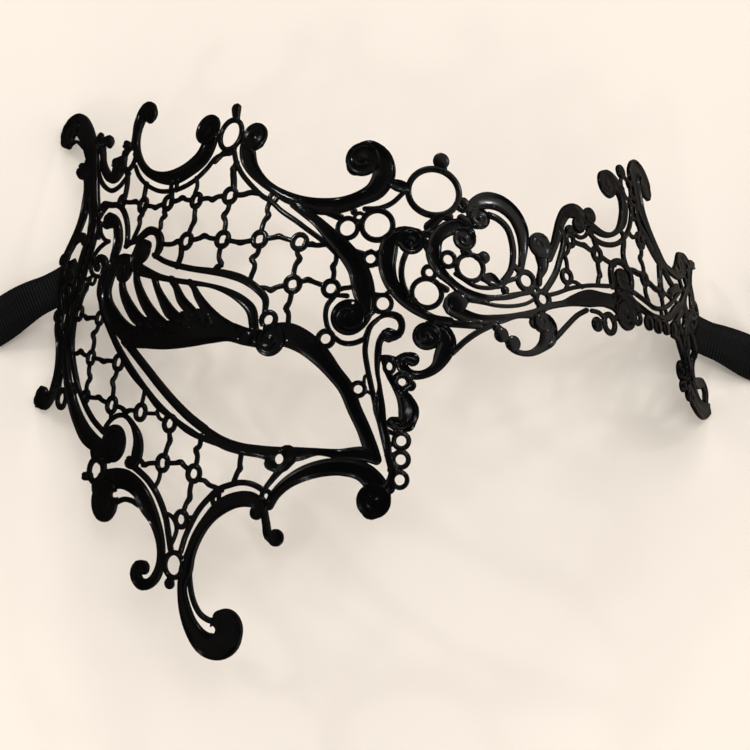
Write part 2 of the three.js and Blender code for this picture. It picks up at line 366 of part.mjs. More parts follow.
b 82.43 59.44 3.8 83.23 62.29 4 81.44 65.16 4.6 78.39 65.83 4.8 75.72 62.88 5.4 75.84 58.5 5 75.74 53.93 4.8 77.22 50.41 3.8 79.56 46.94 3 82.73 43.31 2.6 86.5 40.34 2.13 91 39.6 2.2 95 39.4 2 98.82 40.72 2 100.6 43.4 3.6 99.33 45.21 3.6
c 82.01 60.87 3.12 -60 -1
w 2 71.91 59.35 73.6 60.2
w 1.8 72.26 55.71 73.8 55.4
w 1.4 70.19 53.64 72.6 53.4 74 54.2
w 1.2 71 49.46 73.4 50 75.6 50.8
w 1.8 73.2 53 73.31 49.07 76.4 46.4 79.4 43.6 82.6 40.8 86 38.5 89.72 36.03 94 35.2
b 80 42.8 2.6 83 40.8 2.4 85.4 39.4 1.2
r 72.99 43.96 1.5 1.78 1.62
r 72.5 33.42 1.33 1.45 1.57
r 81.69 32.04 1.24 1.3 1.36
w 1.1 73.8 45.8 73.4 47.98 73.4 50
w 1.1 71.64 45.11 68.99 44.02 66.79 45.1
w 1.4 74.03 44.73 75.89 45.58
k 72.99 43.96 72.50 33.42 0.50 -1.30 0.75
w 1.64 65.84 34.3 67.68 34.44 68.81 34.26 71.02 34.35
w 1.59 73.72 33.21 76.12 32.62 77.61 32.15 80.44 32.1
w 1.3 72.42 32.2 72.21 29.61 73.34 27.44
w 1.91 82.03 33.23 82.28 35.98 82.48 36.99 82.9 39.2
w 1.4 81.62 30.74 81.8 28
w 1 82.57 32.32 86.31 31.96 88.6 31.2
w 1.3 63.32 28.85 68 28.1 72 27.3 76.02 26.54 80.14 27.09 84.21 28.47 88.17 30.57 91.97 33.06 95.86 35.62
b 63 25.4 3 66.04 25.15 2.4 70.04 24.56 1.9 75 23.95 1.8 80 24.3 2 85.07 25.82 2.2 89.82 28.91 2.4 95.19 31.53 2.4 99.62 35.84 2.16 103.6 39 2.6 105.49 43.23 3.4 108.43 46.1 2.6 110.88 46.31 2.22
w 1.2 80.03 27.1 80.6 25
w 1.2 82.8 28.2 83.6 26.2
r 66.54 21.92 1.41 1.51 1.39
d 72.29 21.74 2.1
d 77.35 21.89 2.1
d 82.46 22.44 2
d 87.44 23.05 1.9
# right temple
c 99.66 44.05 3.2 -60 1
b 94.04 40.99 2.2 95.96 42.04 3.2 97.98 44.02 3.6
b 98.93 46.19 2.2 102.99 46.33 3 105.79 45.34 3
w 1.6 96.4 39 97.44 36.8 99.56 35.31
w 1.6 100.6 40.6 101.6 38.2 100.79 36.55
w 1.6 104.2 39.4 103.73 35.61 102.9 31.68 101.73 29.53
w 1.6 99.57 35.3 98.14 32.65 99.28 29.69 101.8 29 105.25 29.76
r 106 32.4 2 2.2 1.6
w 2.4 88.03 33.14 90.6 34.6 93.61 35.91
w 1.4 91 31.4 93.41 30.97 95.8 33
b 87.01 23.91 2 89.6 25.6 2 91.98 27.63 2 95 30 2.2
b 96.6 31 2.6 97.33 27.43 3.2 95.61 24.05 3.4 96.06 20.44 2.6 94.6 17.4 3.2 95.4 13 5 97 9.4 4.4 100.84 5.68 3.6 105 4.9 3.4 109.39 5.78 2.6
b 86.42 21.38 1.8 89.33 21.14 2 90.83 18.78 2 92.8 16 2.4
w 1.8 89 24.6 89.8 22.4
w 1.8 91.77 24.45 93.6 22.8 95.6 22.8
w 1.6 91.74 27.65 91.57 25.04 92.64 23.54
w 2.6 99.94 28.87 102 25.6 106 28.6
b 97.96 26.5 2.4 100.6 22.6 3.2 101.78 19.54 2.4 99.53 17.56 2.2 98.16 14.6 2 98.86 11.15 2.14 102.2 11.21 3.29 105.47 11.79 2.6 107.8 9.93 2.6 107.41 7.33 2.4
c 90.4 12.4 2.9 60 1
c 90.64 8.4 1.7 0 -1
c 94.6 6.9 2 0 -1
b 91.5 12 3.4 94 12.5 4.4
w 2.6 92 8.8 95 9.6
# bridges and fillets
w 1.4 -82 54 -81.7 58.2
w 1.1 -71.4 53.6 -71.4 56.4
w 1.1 -69.3 53.6 -69.3 56.4
b -108.4 66 2 -105.4 60.5 2.4 -103.4 56.4 1.6
b -116 42.5 1.6 -115.4 46.5 1.8 -111.5 50.2 2.2 -107.6 48.2 1.6
w 1.6 55 19.2 57.6 20.6
w 1.4 50 17.6 51.6 17.8
b 1.6 36 2.6 4.2 38.4 2.2
w 1.5 8.6 42.2 9.6 41
d 20.2 21.5 1.0
w 1.4 22.8 28.2 24.6 26.4
b 93 19.5 2.2 94 22.5 2.6 97 25.5 3.6 100 28.4 3
w 2 104.8 30.8 105.4 35 104.9 40
b 97.4 5.4 3.4 101 3.7 3.4 105 3.3 3.2 109.4 5 2.8
w 2.2 108.2 10.6 108 8
w 1.6 75 47 79 42.8 84.4 39.2
w 1.4 -54 60.4 -56.6 58.6
w 1.2 -112 36 -111 33 -112.4 29.5
w 1.4 -112.4 12.4 -113 9 -112.2 7.4
w 1.8 -30 43.6 -24 40.8 -19.6 38.6
w 1.6 30.2 26.2 29.9 24.3
w 1.3 10.2 40.6 11.2 41.0
b -76.7 20.9 1.3 -75.4 20.1 2 -73.9 18.9 2.4
b -63.1 20.0 1.2 -61.8 19.5 2 -60.4 18.4 2.4
b -58.0 19.9 1.2 -56.7 19.0 2.1 -55.3 17.8 2.6
w 1 -84.7 16.3 -83 14.8
w 0.6 -86.6 21.8 -84.6 19.6 -82.2 18.1 -79.8 17.6 -79.5 18.2
w 0.6 -82.4 23.4 -79 19.7 -75.2 16.8 -71.7 15.9 -71.2 16.6
w 0.6 -76.2 22.6 -72.2 18.8 -68.4 16.4 -65.3 15.9 -64.9 16.5
w 0.6 -70.2 22.6 -66.4 18.9 -62.8 16.5 -60.4 15.9 -60 16.6
w 0.6 -64 22.4 -60.4 18.8 -56.8 16.1 -54.1 15.3 -53.6 16.2
h -54.9 -56.3 0.9
h -86.3 -22 0.9
h -87.4 -21.9 0.75
`;

// ---- outlines ------------------------------------------------------------------------------
const V2 = (x, y) => new THREE.Vector2(x, y);

// smooth centreline through stations [u, v, width]
function centreline(st, step = 0.45) {
  if (st.length === 2) return [st[0], st[1]];
  const curve = new THREE.CatmullRomCurve3(st.map((s) => new THREE.Vector3(s[0], s[1], 0)), false, "centripetal");
  const widths = new THREE.CatmullRomCurve3(st.map((s, i) => new THREE.Vector3(i * 10, s[2], 0)), false, "centripetal");
  const out = [];
  const n = st.length - 1;
  for (let i = 0; i < n; i++) {
    const d = Math.hypot(st[i + 1][0] - st[i][0], st[i + 1][1] - st[i][1]);
    const m = Math.max(2, Math.ceil(d / step));
    for (let j = 0; j < m; j++) {
      const p = curve.getPoint((i + j / m) / n);
      const w = widths.getPoint((i + j / m) / n);
      out.push([p.x, p.y, Math.max(0.6, w.y)]);
    }
  }
  out.push(st[n]);
  return out;
}

// outline of a stroke with rounded ends
function strokeOutline(st) {
  const c = centreline(st);
  const n = c.length, left = [], right = [];
  const tan = (i) => {
    const a = c[Math.max(0, i - 1)], b = c[Math.min(n - 1, i + 1)];
    const l = Math.hypot(b[0] - a[0], b[1] - a[1]) || 1;
    return [(b[0] - a[0]) / l, (b[1] - a[1]) / l];
  };
  const put = (list, p, t) => {
    if (list.length) {
      const q = list[list.length - 1];
      if ((p[0] - q[0]) * t[0] + (p[1] - q[1]) * t[1] < 0.02) return;
    }
    list.push(p);
  };
  for (let i = 0; i < n; i++) {
    const t = tan(i), h = c[i][2] / 2;
    put(left, [c[i][0] - t[1] * h, c[i][1] + t[0] * h], t);
    put(right, [c[i][0] + t[1] * h, c[i][1] - t[0] * h], t);
  }
  const cap = (i, sign) => {
    const t = tan(i), h = c[i][2] / 2, pts = [];
    const segs = 6;
    for (let k = 1; k < segs; k++) {
      const a = (Math.PI * k) / segs;
      const f = Math.sin(a) * h, s = Math.cos(a) * h;
      pts.push([c[i][0] + sign * (t[0] * f - t[1] * s), c[i][1] + sign * (t[1] * f + t[0] * s)]);
    }
    return pts;
  };
  // left side forward, far cap, right side back, near cap
  return [...left, ...cap(n - 1, 1), ...right.reverse(), ...cap(0, -1)];
}

function ellipseOutline(x, y, a, b, tol = OUTLINE_TOL) {
  const r = Math.max(a, b);
  const seg = Math.max(7, Math.ceil(Math.PI / Math.acos(Math.max(0, 1 - tol / r))));
  const out = [];
  for (let k = 0; k < seg; k++) {
    const t = (2 * Math.PI * (k + 0.25)) / seg;
    out.push([x + a * Math.cos(t), y + b * Math.sin(t)]);
  }
  return out;
}

// leave out the points that the outline doesn't need
function thin(pts, tol, uncross = false) {
  const n = pts.length;
  let far = 0, best = 0;
  for (let i = 1; i < n; i++) {
    const d = Math.hypot(pts[i][0] - pts[0][0], pts[i][1] - pts[0][1]);
    if (d > best) { best = d; far = i; }
  }
  const keep = new Array(n).fill(false);
  keep[0] = keep[far] = true;
  const split = (i, j) => {
    const a = pts[i], b = pts[j % n];
    const l = Math.hypot(b[0] - a[0], b[1] - a[1]) || 1e-9;
    let m = -1, dm = tol;
    for (let k = i + 1; k < j; k++) {
      const p = pts[k];
      const d = Math.abs((b[0] - a[0]) * (a[1] - p[1]) - (a[0] - p[0]) * (b[1] - a[1])) / l;
      if (d > dm) { dm = d; m = k; }
    }
    if (m > 0) { keep[m] = true; split(i, m); split(m, j); }
  };
  split(0, far);
  split(far, n);
  // where the shorter outline would cross itself, the points in between come back
  for (let round = 0; uncross && round < 8; round++) {
    const ids = [];
    keep.forEach((k, i) => k && ids.push(i));
    const seg = ids.map((i, k) => [i, ids[(k + 1) % ids.length]]);
    const turn = (p, q, r) => (q[0] - p[0]) * (r[1] - p[1]) - (q[1] - p[1]) * (r[0] - p[0]);
    const redo = new Set();
    for (let i = 0; i < seg.length; i++)
      for (let j = i + 2; j < seg.length; j++) {
        if (i === 0 && j === seg.length - 1) continue;
        const [p, q] = seg[i].map((k) => pts[k]), [r, t] = seg[j].map((k) => pts[k]);
        if (Math.max(p[0], q[0]) < Math.min(r[0], t[0]) || Math.max(r[0], t[0]) < Math.min(p[0], q[0])) continue;
        if (turn(p, q, r) * turn(p, q, t) < 0 && turn(r, t, p) * turn(r, t, q) < 0) { redo.add(i); redo.add(j); }
      }
    if (!redo.size) break;
    for (const k of redo) {
      const [i, j0] = seg[k], j = j0 > i ? j0 : j0 + n;
      if (j - i > 1) keep[Math.round((i + j) / 2) % n] = true;
    }
  }
  return pts.filter((_, i) => keep[i]);
}

function netWire([xa, ya, xb, yb, p, cusp, bulge]) {
  const L = Math.hypot(xb - xa, yb - ya), ux = (xb - xa) / L, uy = (yb - ya) / L;
  const c = [xa + ux * L * p - uy * cusp, ya + uy * L * p + ux * cusp];
  const out = [];
  for (const [A, B] of [[[xa, ya], c], [c, [xb, yb]]])
    for (let k = out.length ? 1 : 0; k <= 4; k++) {
      const t = k / 4, q = (A === c ? 1 - t : t) ** NET_SKEW, b = bulge * 4 * q * (1 - q);
      out.push([A[0] + (B[0] - A[0]) * t - uy * b, A[1] + (B[1] - A[1]) * t + ux * b, NET_WIRE]);
    }
  return out;
}

// ---- solids --------------------------------------------------------------------------------
function toManifold(geometry) {
  geometry.deleteAttribute("normal");
  geometry.deleteAttribute("uv");
  const g = mergeVertices(geometry, 1e-5);
  const idx = g.index.array;
  const keep = [];
  for (let i = 0; i < idx.length; i += 3)
    if (idx[i] !== idx[i + 1] && idx[i + 1] !== idx[i + 2] && idx[i] !== idx[i + 2]) keep.push(idx[i], idx[i + 1], idx[i + 2]);
  return new Manifold(new Mesh({
    numProp: 3,
    vertProperties: new Float32Array(g.attributes.position.array),
    triVerts: new Uint32Array(keep),
  }));
}

function slab(outline, thickness) {
  let pts = outline;
  if (THREE.ShapeUtils.area(pts.map((p) => V2(...p))) < 0) pts = pts.slice().reverse();
  const g = new THREE.ExtrudeGeometry(new THREE.Shape(pts.map((p) => V2(...p))), { depth: thickness, bevelEnabled: false, steps: 1, curveSegments: 1 });
  g.translate(0, 0, -thickness / 2);
  return toManifold(g);
}

function readPattern(text) {
  const items = [];
  for (const line of text.split("\n")) {
    const s = line.trim();
    if (!s || s[0] === "#") continue;
    const f = s.split(/\s+/);
    items.push([f[0], f.slice(1).map(Number)]);
  }
  return items;
}

const triples = (a) => { const o = []; for (let i = 0; i < a.length; i += 3) o.push(a.slice(i, i + 3)); return o; };
const pairs = (a, w) => { const o = []; for (let i = 0; i < a.length; i += 2) o.push([a[i], a[i + 1], w]); return o; };

function joinAll(list) {
  while (list.length > 1) {
    const next = [];
    for (let i = 0; i < list.length; i += 2) next.push(i + 1 < list.length ? list[i].add(list[i + 1]) : list[i]);
    list = next;
  }
  return list[0];
}

function flatMask() {
  const solids = [], cuts = [];
  for (const [kind, a] of readPattern(PATTERN)) {
    if (kind === "b") solids.push(slab(thin(strokeOutline(triples(a)), OUTLINE_TOL), METAL));
    else if (kind === "w") solids.push(slab(thin(strokeOutline(pairs(a.slice(1), a[0])), OUTLINE_TOL), METAL));
    else if (kind === "k") solids.push(slab(thin(strokeOutline(netWire(a)), OUTLINE_TOL), METAL));
    else if (kind === "c" || kind === "d") solids.push(slab(ellipseOutline(a[0], a[1], a[2], a[2]), METAL));
    else if (kind === "r" || kind === "n") {
      const [x, y, ra, rb, w] = kind === "n" ? [a[0], a[1], NODE.r, NODE.r, NODE.w] : a;
      solids.push(slab(ellipseOutline(x, y, ra + w / 2, rb + w / 2), METAL));
      if (ra > w / 2 && rb > w / 2) cuts.push([x, y, ra - w / 2, rb - w / 2]);
    } else if (kind === "h") cuts.push([a[0], a[1], a[2], a.length > 3 ? a[3] : a[2]]);
  }
  const body = joinAll(solids);
  const holes = joinAll(cuts.map(([x, y, a, b]) => slab(ellipseOutline(x, y, a, b), METAL * 3)));
  return body.subtract(holes);
}

// edge loops of the joined pattern's upper face, the outer one first
function edgeLoops(solid) {
  const m = solid.getMesh(), P = (i) => [m.vertProperties[i * m.numProp], m.vertProperties[i * m.numProp + 1]];
  const up = (i) => m.vertProperties[i * m.numProp + 2] > 0;
  const next = new Map(), seen = new Set();
  for (let i = 0; i < m.triVerts.length; i += 3) {
    const t = [m.triVerts[i], m.triVerts[i + 1], m.triVerts[i + 2]];
    if (!t.every(up)) continue;
    for (let k = 0; k < 3; k++) seen.add(t[k] + "_" + t[(k + 1) % 3]);
  }
  for (const e of seen) {
    const [a, b] = e.split("_").map(Number);
    if (!seen.has(b + "_" + a)) { if (!next.has(a)) next.set(a, []); next.get(a).push(b); }
  }
  const loops = [];
  for (const [start, outs] of next)
    while (outs.length) {
      const loop = [];
      let a = start;
      do { loop.push(a); a = next.get(a).pop(); } while (a !== undefined && a !== start && loop.length < 1e5);
      loops.push(loop.map(P));
    }
  const sized = loops.map((l) => ({ l, a: THREE.ShapeUtils.area(l.map((p) => V2(...p))) }));
  sized.sort((p, q) => q.a - p.a);
  return { outer: sized[0].l, holes: sized.filter((q) => q.a < -SMALLEST_HOLE).map((q) => q.l) };
}

// split long edges so that the wrapped faces stay close to the curve
function refine(pos, tri, longest) {
  for (let pass = 0; pass < 6; pass++) {
    const mid = new Map(), out = [];
    const key = (a, b) => (a < b ? a + "_" + b : b + "_" + a);
    const len = (a, b) => Math.hypot(pos[a][0] - pos[b][0], pos[a][1] - pos[b][1]);
    const half = (a, b) => {
      const k = key(a, b);
      if (!mid.has(k)) { mid.set(k, pos.length); pos.push([0, 1, 2].map((i) => (pos[a][i] + pos[b][i]) / 2)); }
      return mid.get(k);
    };
    let split = 0;
    const n0 = pos.length;
    for (const [a, b, c] of tri) {
      const e = [[a, b, c], [b, c, a], [c, a, b]].filter(([p, q]) => len(p, q) > longest);
      if (!e.length) { out.push([a, b, c]); continue; }
      split++;
      if (e.length === 1) { const [p, q, r] = e[0], m = half(p, q); out.push([p, m, r], [m, q, r]); }
      else if (e.length === 2) {
        // the corner shared by the two long edges
        const o = [a, b, c].find((v) => e.every(([p, q]) => p === v || q === v));
        const order = o === a ? [a, b, c] : o === b ? [b, c, a] : [c, a, b];
        const m1 = half(order[0], order[1]), m2 = half(order[0], order[2]);
        out.push([order[0], m1, m2], [m1, order[1], order[2]], [m1, order[2], m2]);
      } else { const m1 = half(a, b), m2 = half(b, c), m3 = half(c, a); out.push([a, m1, m3], [m1, b, m2], [m3, m2, c], [m1, m2, m3]); }
    }
    tri = out;
    if (!split) break;
  }
  return [pos, tri];
}

// ---- the face ---------------------------------------------------------------------------------
// angle of the face at u, and the middle line integrated once on a fine table
const theta = (u) => THREE.MathUtils.degToRad(WRAP_ANGLE) * Math.tanh(u / WRAP_WIDTH);
const TABLE = (() => {
  const h = 0.25, n = 640, xs = [0], zs = [0];
  for (let i = 1; i <= n; i++) {
    const t = theta((i - 0.5) * h);
    xs.push(xs[i - 1] + Math.cos(t) * h);
    zs.push(zs[i - 1] - Math.sin(t) * h);
  }
  return { h, xs, zs };
})();
function face(u, v, w) {
  const s = Math.sign(u) || 1, q = Math.abs(u) / TABLE.h, i = Math.min(TABLE.xs.length - 2, Math.floor(q)), f = q - i;
  const x = s * (TABLE.xs[i] * (1 - f) + TABLE.xs[i + 1] * f);
  const z = TABLE.zs[i] * (1 - f) + TABLE.zs[i + 1] * f;
  const t = theta(u), d = (-CROWN * v * v) / 1000, slope = (2 * CROWN * v) / 1000, cn = 1 / Math.sqrt(1 + slope * slope);
  return new THREE.Vector3(x + Math.sin(t) * d + Math.sin(t) * cn * w, v + slope * cn * w, z + Math.cos(t) * d + Math.cos(t) * cn * w);
}

// ---- how it lies --------------------------------------------------------------------------------
// It lies on the curls of the two temples and the top leaf: down is square to the plane through
// those three. Each of them has a small flat spot where it bears.
const DOWN = new THREE.Vector3(0.0663, -0.1557, -0.9856).normalize();
const FLAT_SPOT = 0.2;
const restTurn = (() => {
  const z = DOWN.clone().negate();
  const x = new THREE.Vector3(1, 0, 0).addScaledVector(z, -z.x).normalize();
  const y = new THREE.Vector3().crossVectors(z, x);
  return new THREE.Matrix4().makeBasis(x, y, z).transpose();
})();

function maskGeometry() {
  const { outer, holes } = edgeLoops(flatMask());
  const shape = new THREE.Shape(thin(outer, EDGE_TOL, true).map((p) => V2(...p)));
  for (const h of holes) shape.holes.push(new THREE.Path(thin(h, EDGE_TOL, true).map((p) => V2(...p))));
  const plate = new THREE.ExtrudeGeometry(shape, { depth: METAL, bevelEnabled: false, steps: 1, curveSegments: 1 });
  plate.translate(0, 0, -METAL / 2);
  const flat = toManifold(plate).getMesh();
  const pos = [], tri = [];
  for (let i = 0; i < flat.vertProperties.length; i += flat.numProp)
    pos.push([flat.vertProperties[i], flat.vertProperties[i + 1], flat.vertProperties[i + 2]]);
  for (let i = 0; i < flat.triVerts.length; i += 3) tri.push([flat.triVerts[i], flat.triVerts[i + 1], flat.triVerts[i + 2]]);
  const [p, t] = refine(pos, tri, LONGEST_EDGE);
  const pts = p.map((q) => face(q[0], q[1], q[2]).applyMatrix4(restTurn));
  const box = new THREE.Box3().setFromPoints(pts);
  const dx = (box.min.x + box.max.x) / 2, dy = (box.min.y + box.max.y) / 2;
  const verts = new Float32Array(pts.flatMap((q) => [q.x - dx, q.y - dy, q.z - box.min.z - FLAT_SPOT]));
  let solid = new Manifold(new Mesh({ numProp: 3, vertProperties: verts, triVerts: new Uint32Array(t.flat()) }));
  const below = new THREE.BoxGeometry(400, 400, 20);
  below.translate(0, 0, -10);
  solid = solid.subtract(toManifold(below));
  const m = solid.getMesh();
  const g = new THREE.BufferGeometry();
  const out = new Float32Array((m.vertProperties.length / m.numProp) * 3);
  for (let i = 0; i < out.length / 3; i++) for (let k = 0; k < 3; k++) out[3 * i + k] = m.vertProperties[i * m.numProp + k];
  g.setAttribute("position", new THREE.BufferAttribute(out, 3));
  g.setIndex(new THREE.BufferAttribute(new Uint32Array(m.triVerts), 1));
  g.computeVertexNormals();
  return g;
}

// ---- ribbons --------------------------------------------------------------------------------------
// Each runs out under its temple bar, down to the table, and is put away in a loose coil on edge.
const COIL = { outer: 31, inner: 13, tall: 13.6, line: 29 }; // the ribbon joins the coil at this radius
const RIBBONS = {
  left: { start: [-88.2, 24.2, 8.6], toward: [-0.925, -0.38], drop: 20, run: 42, side: -1 },
  right: { start: [92.0, 11.2, 4.6], toward: [0.9481, -0.318], drop: 16, run: 38, side: 1 },
};

function ribbonStretch({ start, toward, drop, run }) {
  const h = RIBBON.thick / 2, n = 10, top = [], bottom = [];
  for (let i = 0; i <= n; i++) {
    const s = (run * i) / n, f = Math.min(1, s / drop);
    const z = (start[2] - h - 0.1) * (1 - f) * (1 - f) * (1 + 2 * f) + h + 0.1;
    top.push(V2(s, z + h));
    bottom.push(V2(s, Math.max(0.05, z - h)));
  }
  const shape = new THREE.Shape([...bottom, ...top.reverse()]);
  const g = new THREE.ExtrudeGeometry(shape, { depth: RIBBON.width, bevelEnabled: false, steps: 1 });
  g.translate(0, 0, -RIBBON.width / 2);
  g.applyMatrix4(new THREE.Matrix4().makeBasis(
    new THREE.Vector3(toward[0], toward[1], 0),
    new THREE.Vector3(0, 0, 1),
    new THREE.Vector3(toward[1], -toward[0], 0)));
  g.translate(start[0], start[1], 0);
  return g;
}

function ribbonCoil() {
  const { outer, inner, tall } = COIL;
  const profile = [V2(inner, 0), V2(outer, 0), V2(outer, tall), V2(inner, tall), V2(inner, 0)];
  const g = new THREE.LatheGeometry(profile, 20);
  g.rotateX(Math.PI / 2);
  return g;
}

// ---- the object ---------------------------------------------------------------------------------------
const enamel = new THREE.MeshStandardMaterial({ color: 0x0b0a0c, roughness: 0.28, metalness: 0.35 });
const grosgrain = new THREE.MeshStandardMaterial({ color: 0x0d0c0e, roughness: 0.75, metalness: 0 });

const object = new THREE.Group();
const mask = new THREE.Mesh(maskGeometry(), enamel);
mask.name = "mask";
object.add(mask);

for (const [side, r] of Object.entries(RIBBONS)) {
  const stretch = new THREE.Mesh(ribbonStretch(r), grosgrain.clone());
  stretch.name = `ribbon_${side}`;
  object.add(stretch);
  const coil = new THREE.Mesh(ribbonCoil(), grosgrain.clone());
  coil.name = `ribbon_${side}_coil`;
  // the coil lies beside the ribbon's line, which touches its outer turn
  const near = COIL.line - RIBBON.width / 2;
  const reach = r.run + 0.35 + Math.sqrt(COIL.outer ** 2 - near ** 2);
  coil.position.set(
    r.start[0] + r.toward[0] * reach - r.side * r.toward[1] * COIL.line,
    r.start[1] + r.toward[1] * reach + r.side * r.toward[0] * COIL.line, 0);
  object.add(coil);
}

export default object;
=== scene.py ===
import math
import json
import bpy
import bmesh
import numpy as np
from mathutils import Matrix, Vector

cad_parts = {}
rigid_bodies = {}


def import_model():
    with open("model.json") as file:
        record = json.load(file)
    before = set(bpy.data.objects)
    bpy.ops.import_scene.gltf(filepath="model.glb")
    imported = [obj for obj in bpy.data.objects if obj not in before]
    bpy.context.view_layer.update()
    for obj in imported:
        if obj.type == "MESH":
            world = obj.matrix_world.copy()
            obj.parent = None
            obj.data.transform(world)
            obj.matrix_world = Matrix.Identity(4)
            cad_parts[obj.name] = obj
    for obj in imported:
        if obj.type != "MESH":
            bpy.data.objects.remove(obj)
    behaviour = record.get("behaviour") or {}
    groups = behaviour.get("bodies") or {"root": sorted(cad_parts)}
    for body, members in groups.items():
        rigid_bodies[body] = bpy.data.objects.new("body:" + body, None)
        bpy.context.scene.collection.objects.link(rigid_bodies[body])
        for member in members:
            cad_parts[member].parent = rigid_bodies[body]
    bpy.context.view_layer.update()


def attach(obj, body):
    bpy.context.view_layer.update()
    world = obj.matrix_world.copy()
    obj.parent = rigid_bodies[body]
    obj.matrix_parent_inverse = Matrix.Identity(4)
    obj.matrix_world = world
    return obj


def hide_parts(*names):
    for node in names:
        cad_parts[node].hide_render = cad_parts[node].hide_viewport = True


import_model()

# ---- sizes, millimetres -------------------------------------------------------------------
WRAP_ANGLE, WRAP_WIDTH, CROWN = 60.0, 69.0, 1.3
HALF = 0.6                      # half of the metal's thickness
NET_WIRE, NET_SKEW = 1.2, 1.6
NODE_R, NODE_W = 1.85, 1.3
RIM = 0.42                      # width of the raised rim along a leaf
DOWN = (0.0663, -0.1557, -0.9856)
ORIGIN = (-8.534801, 22.391378, -66.281112)

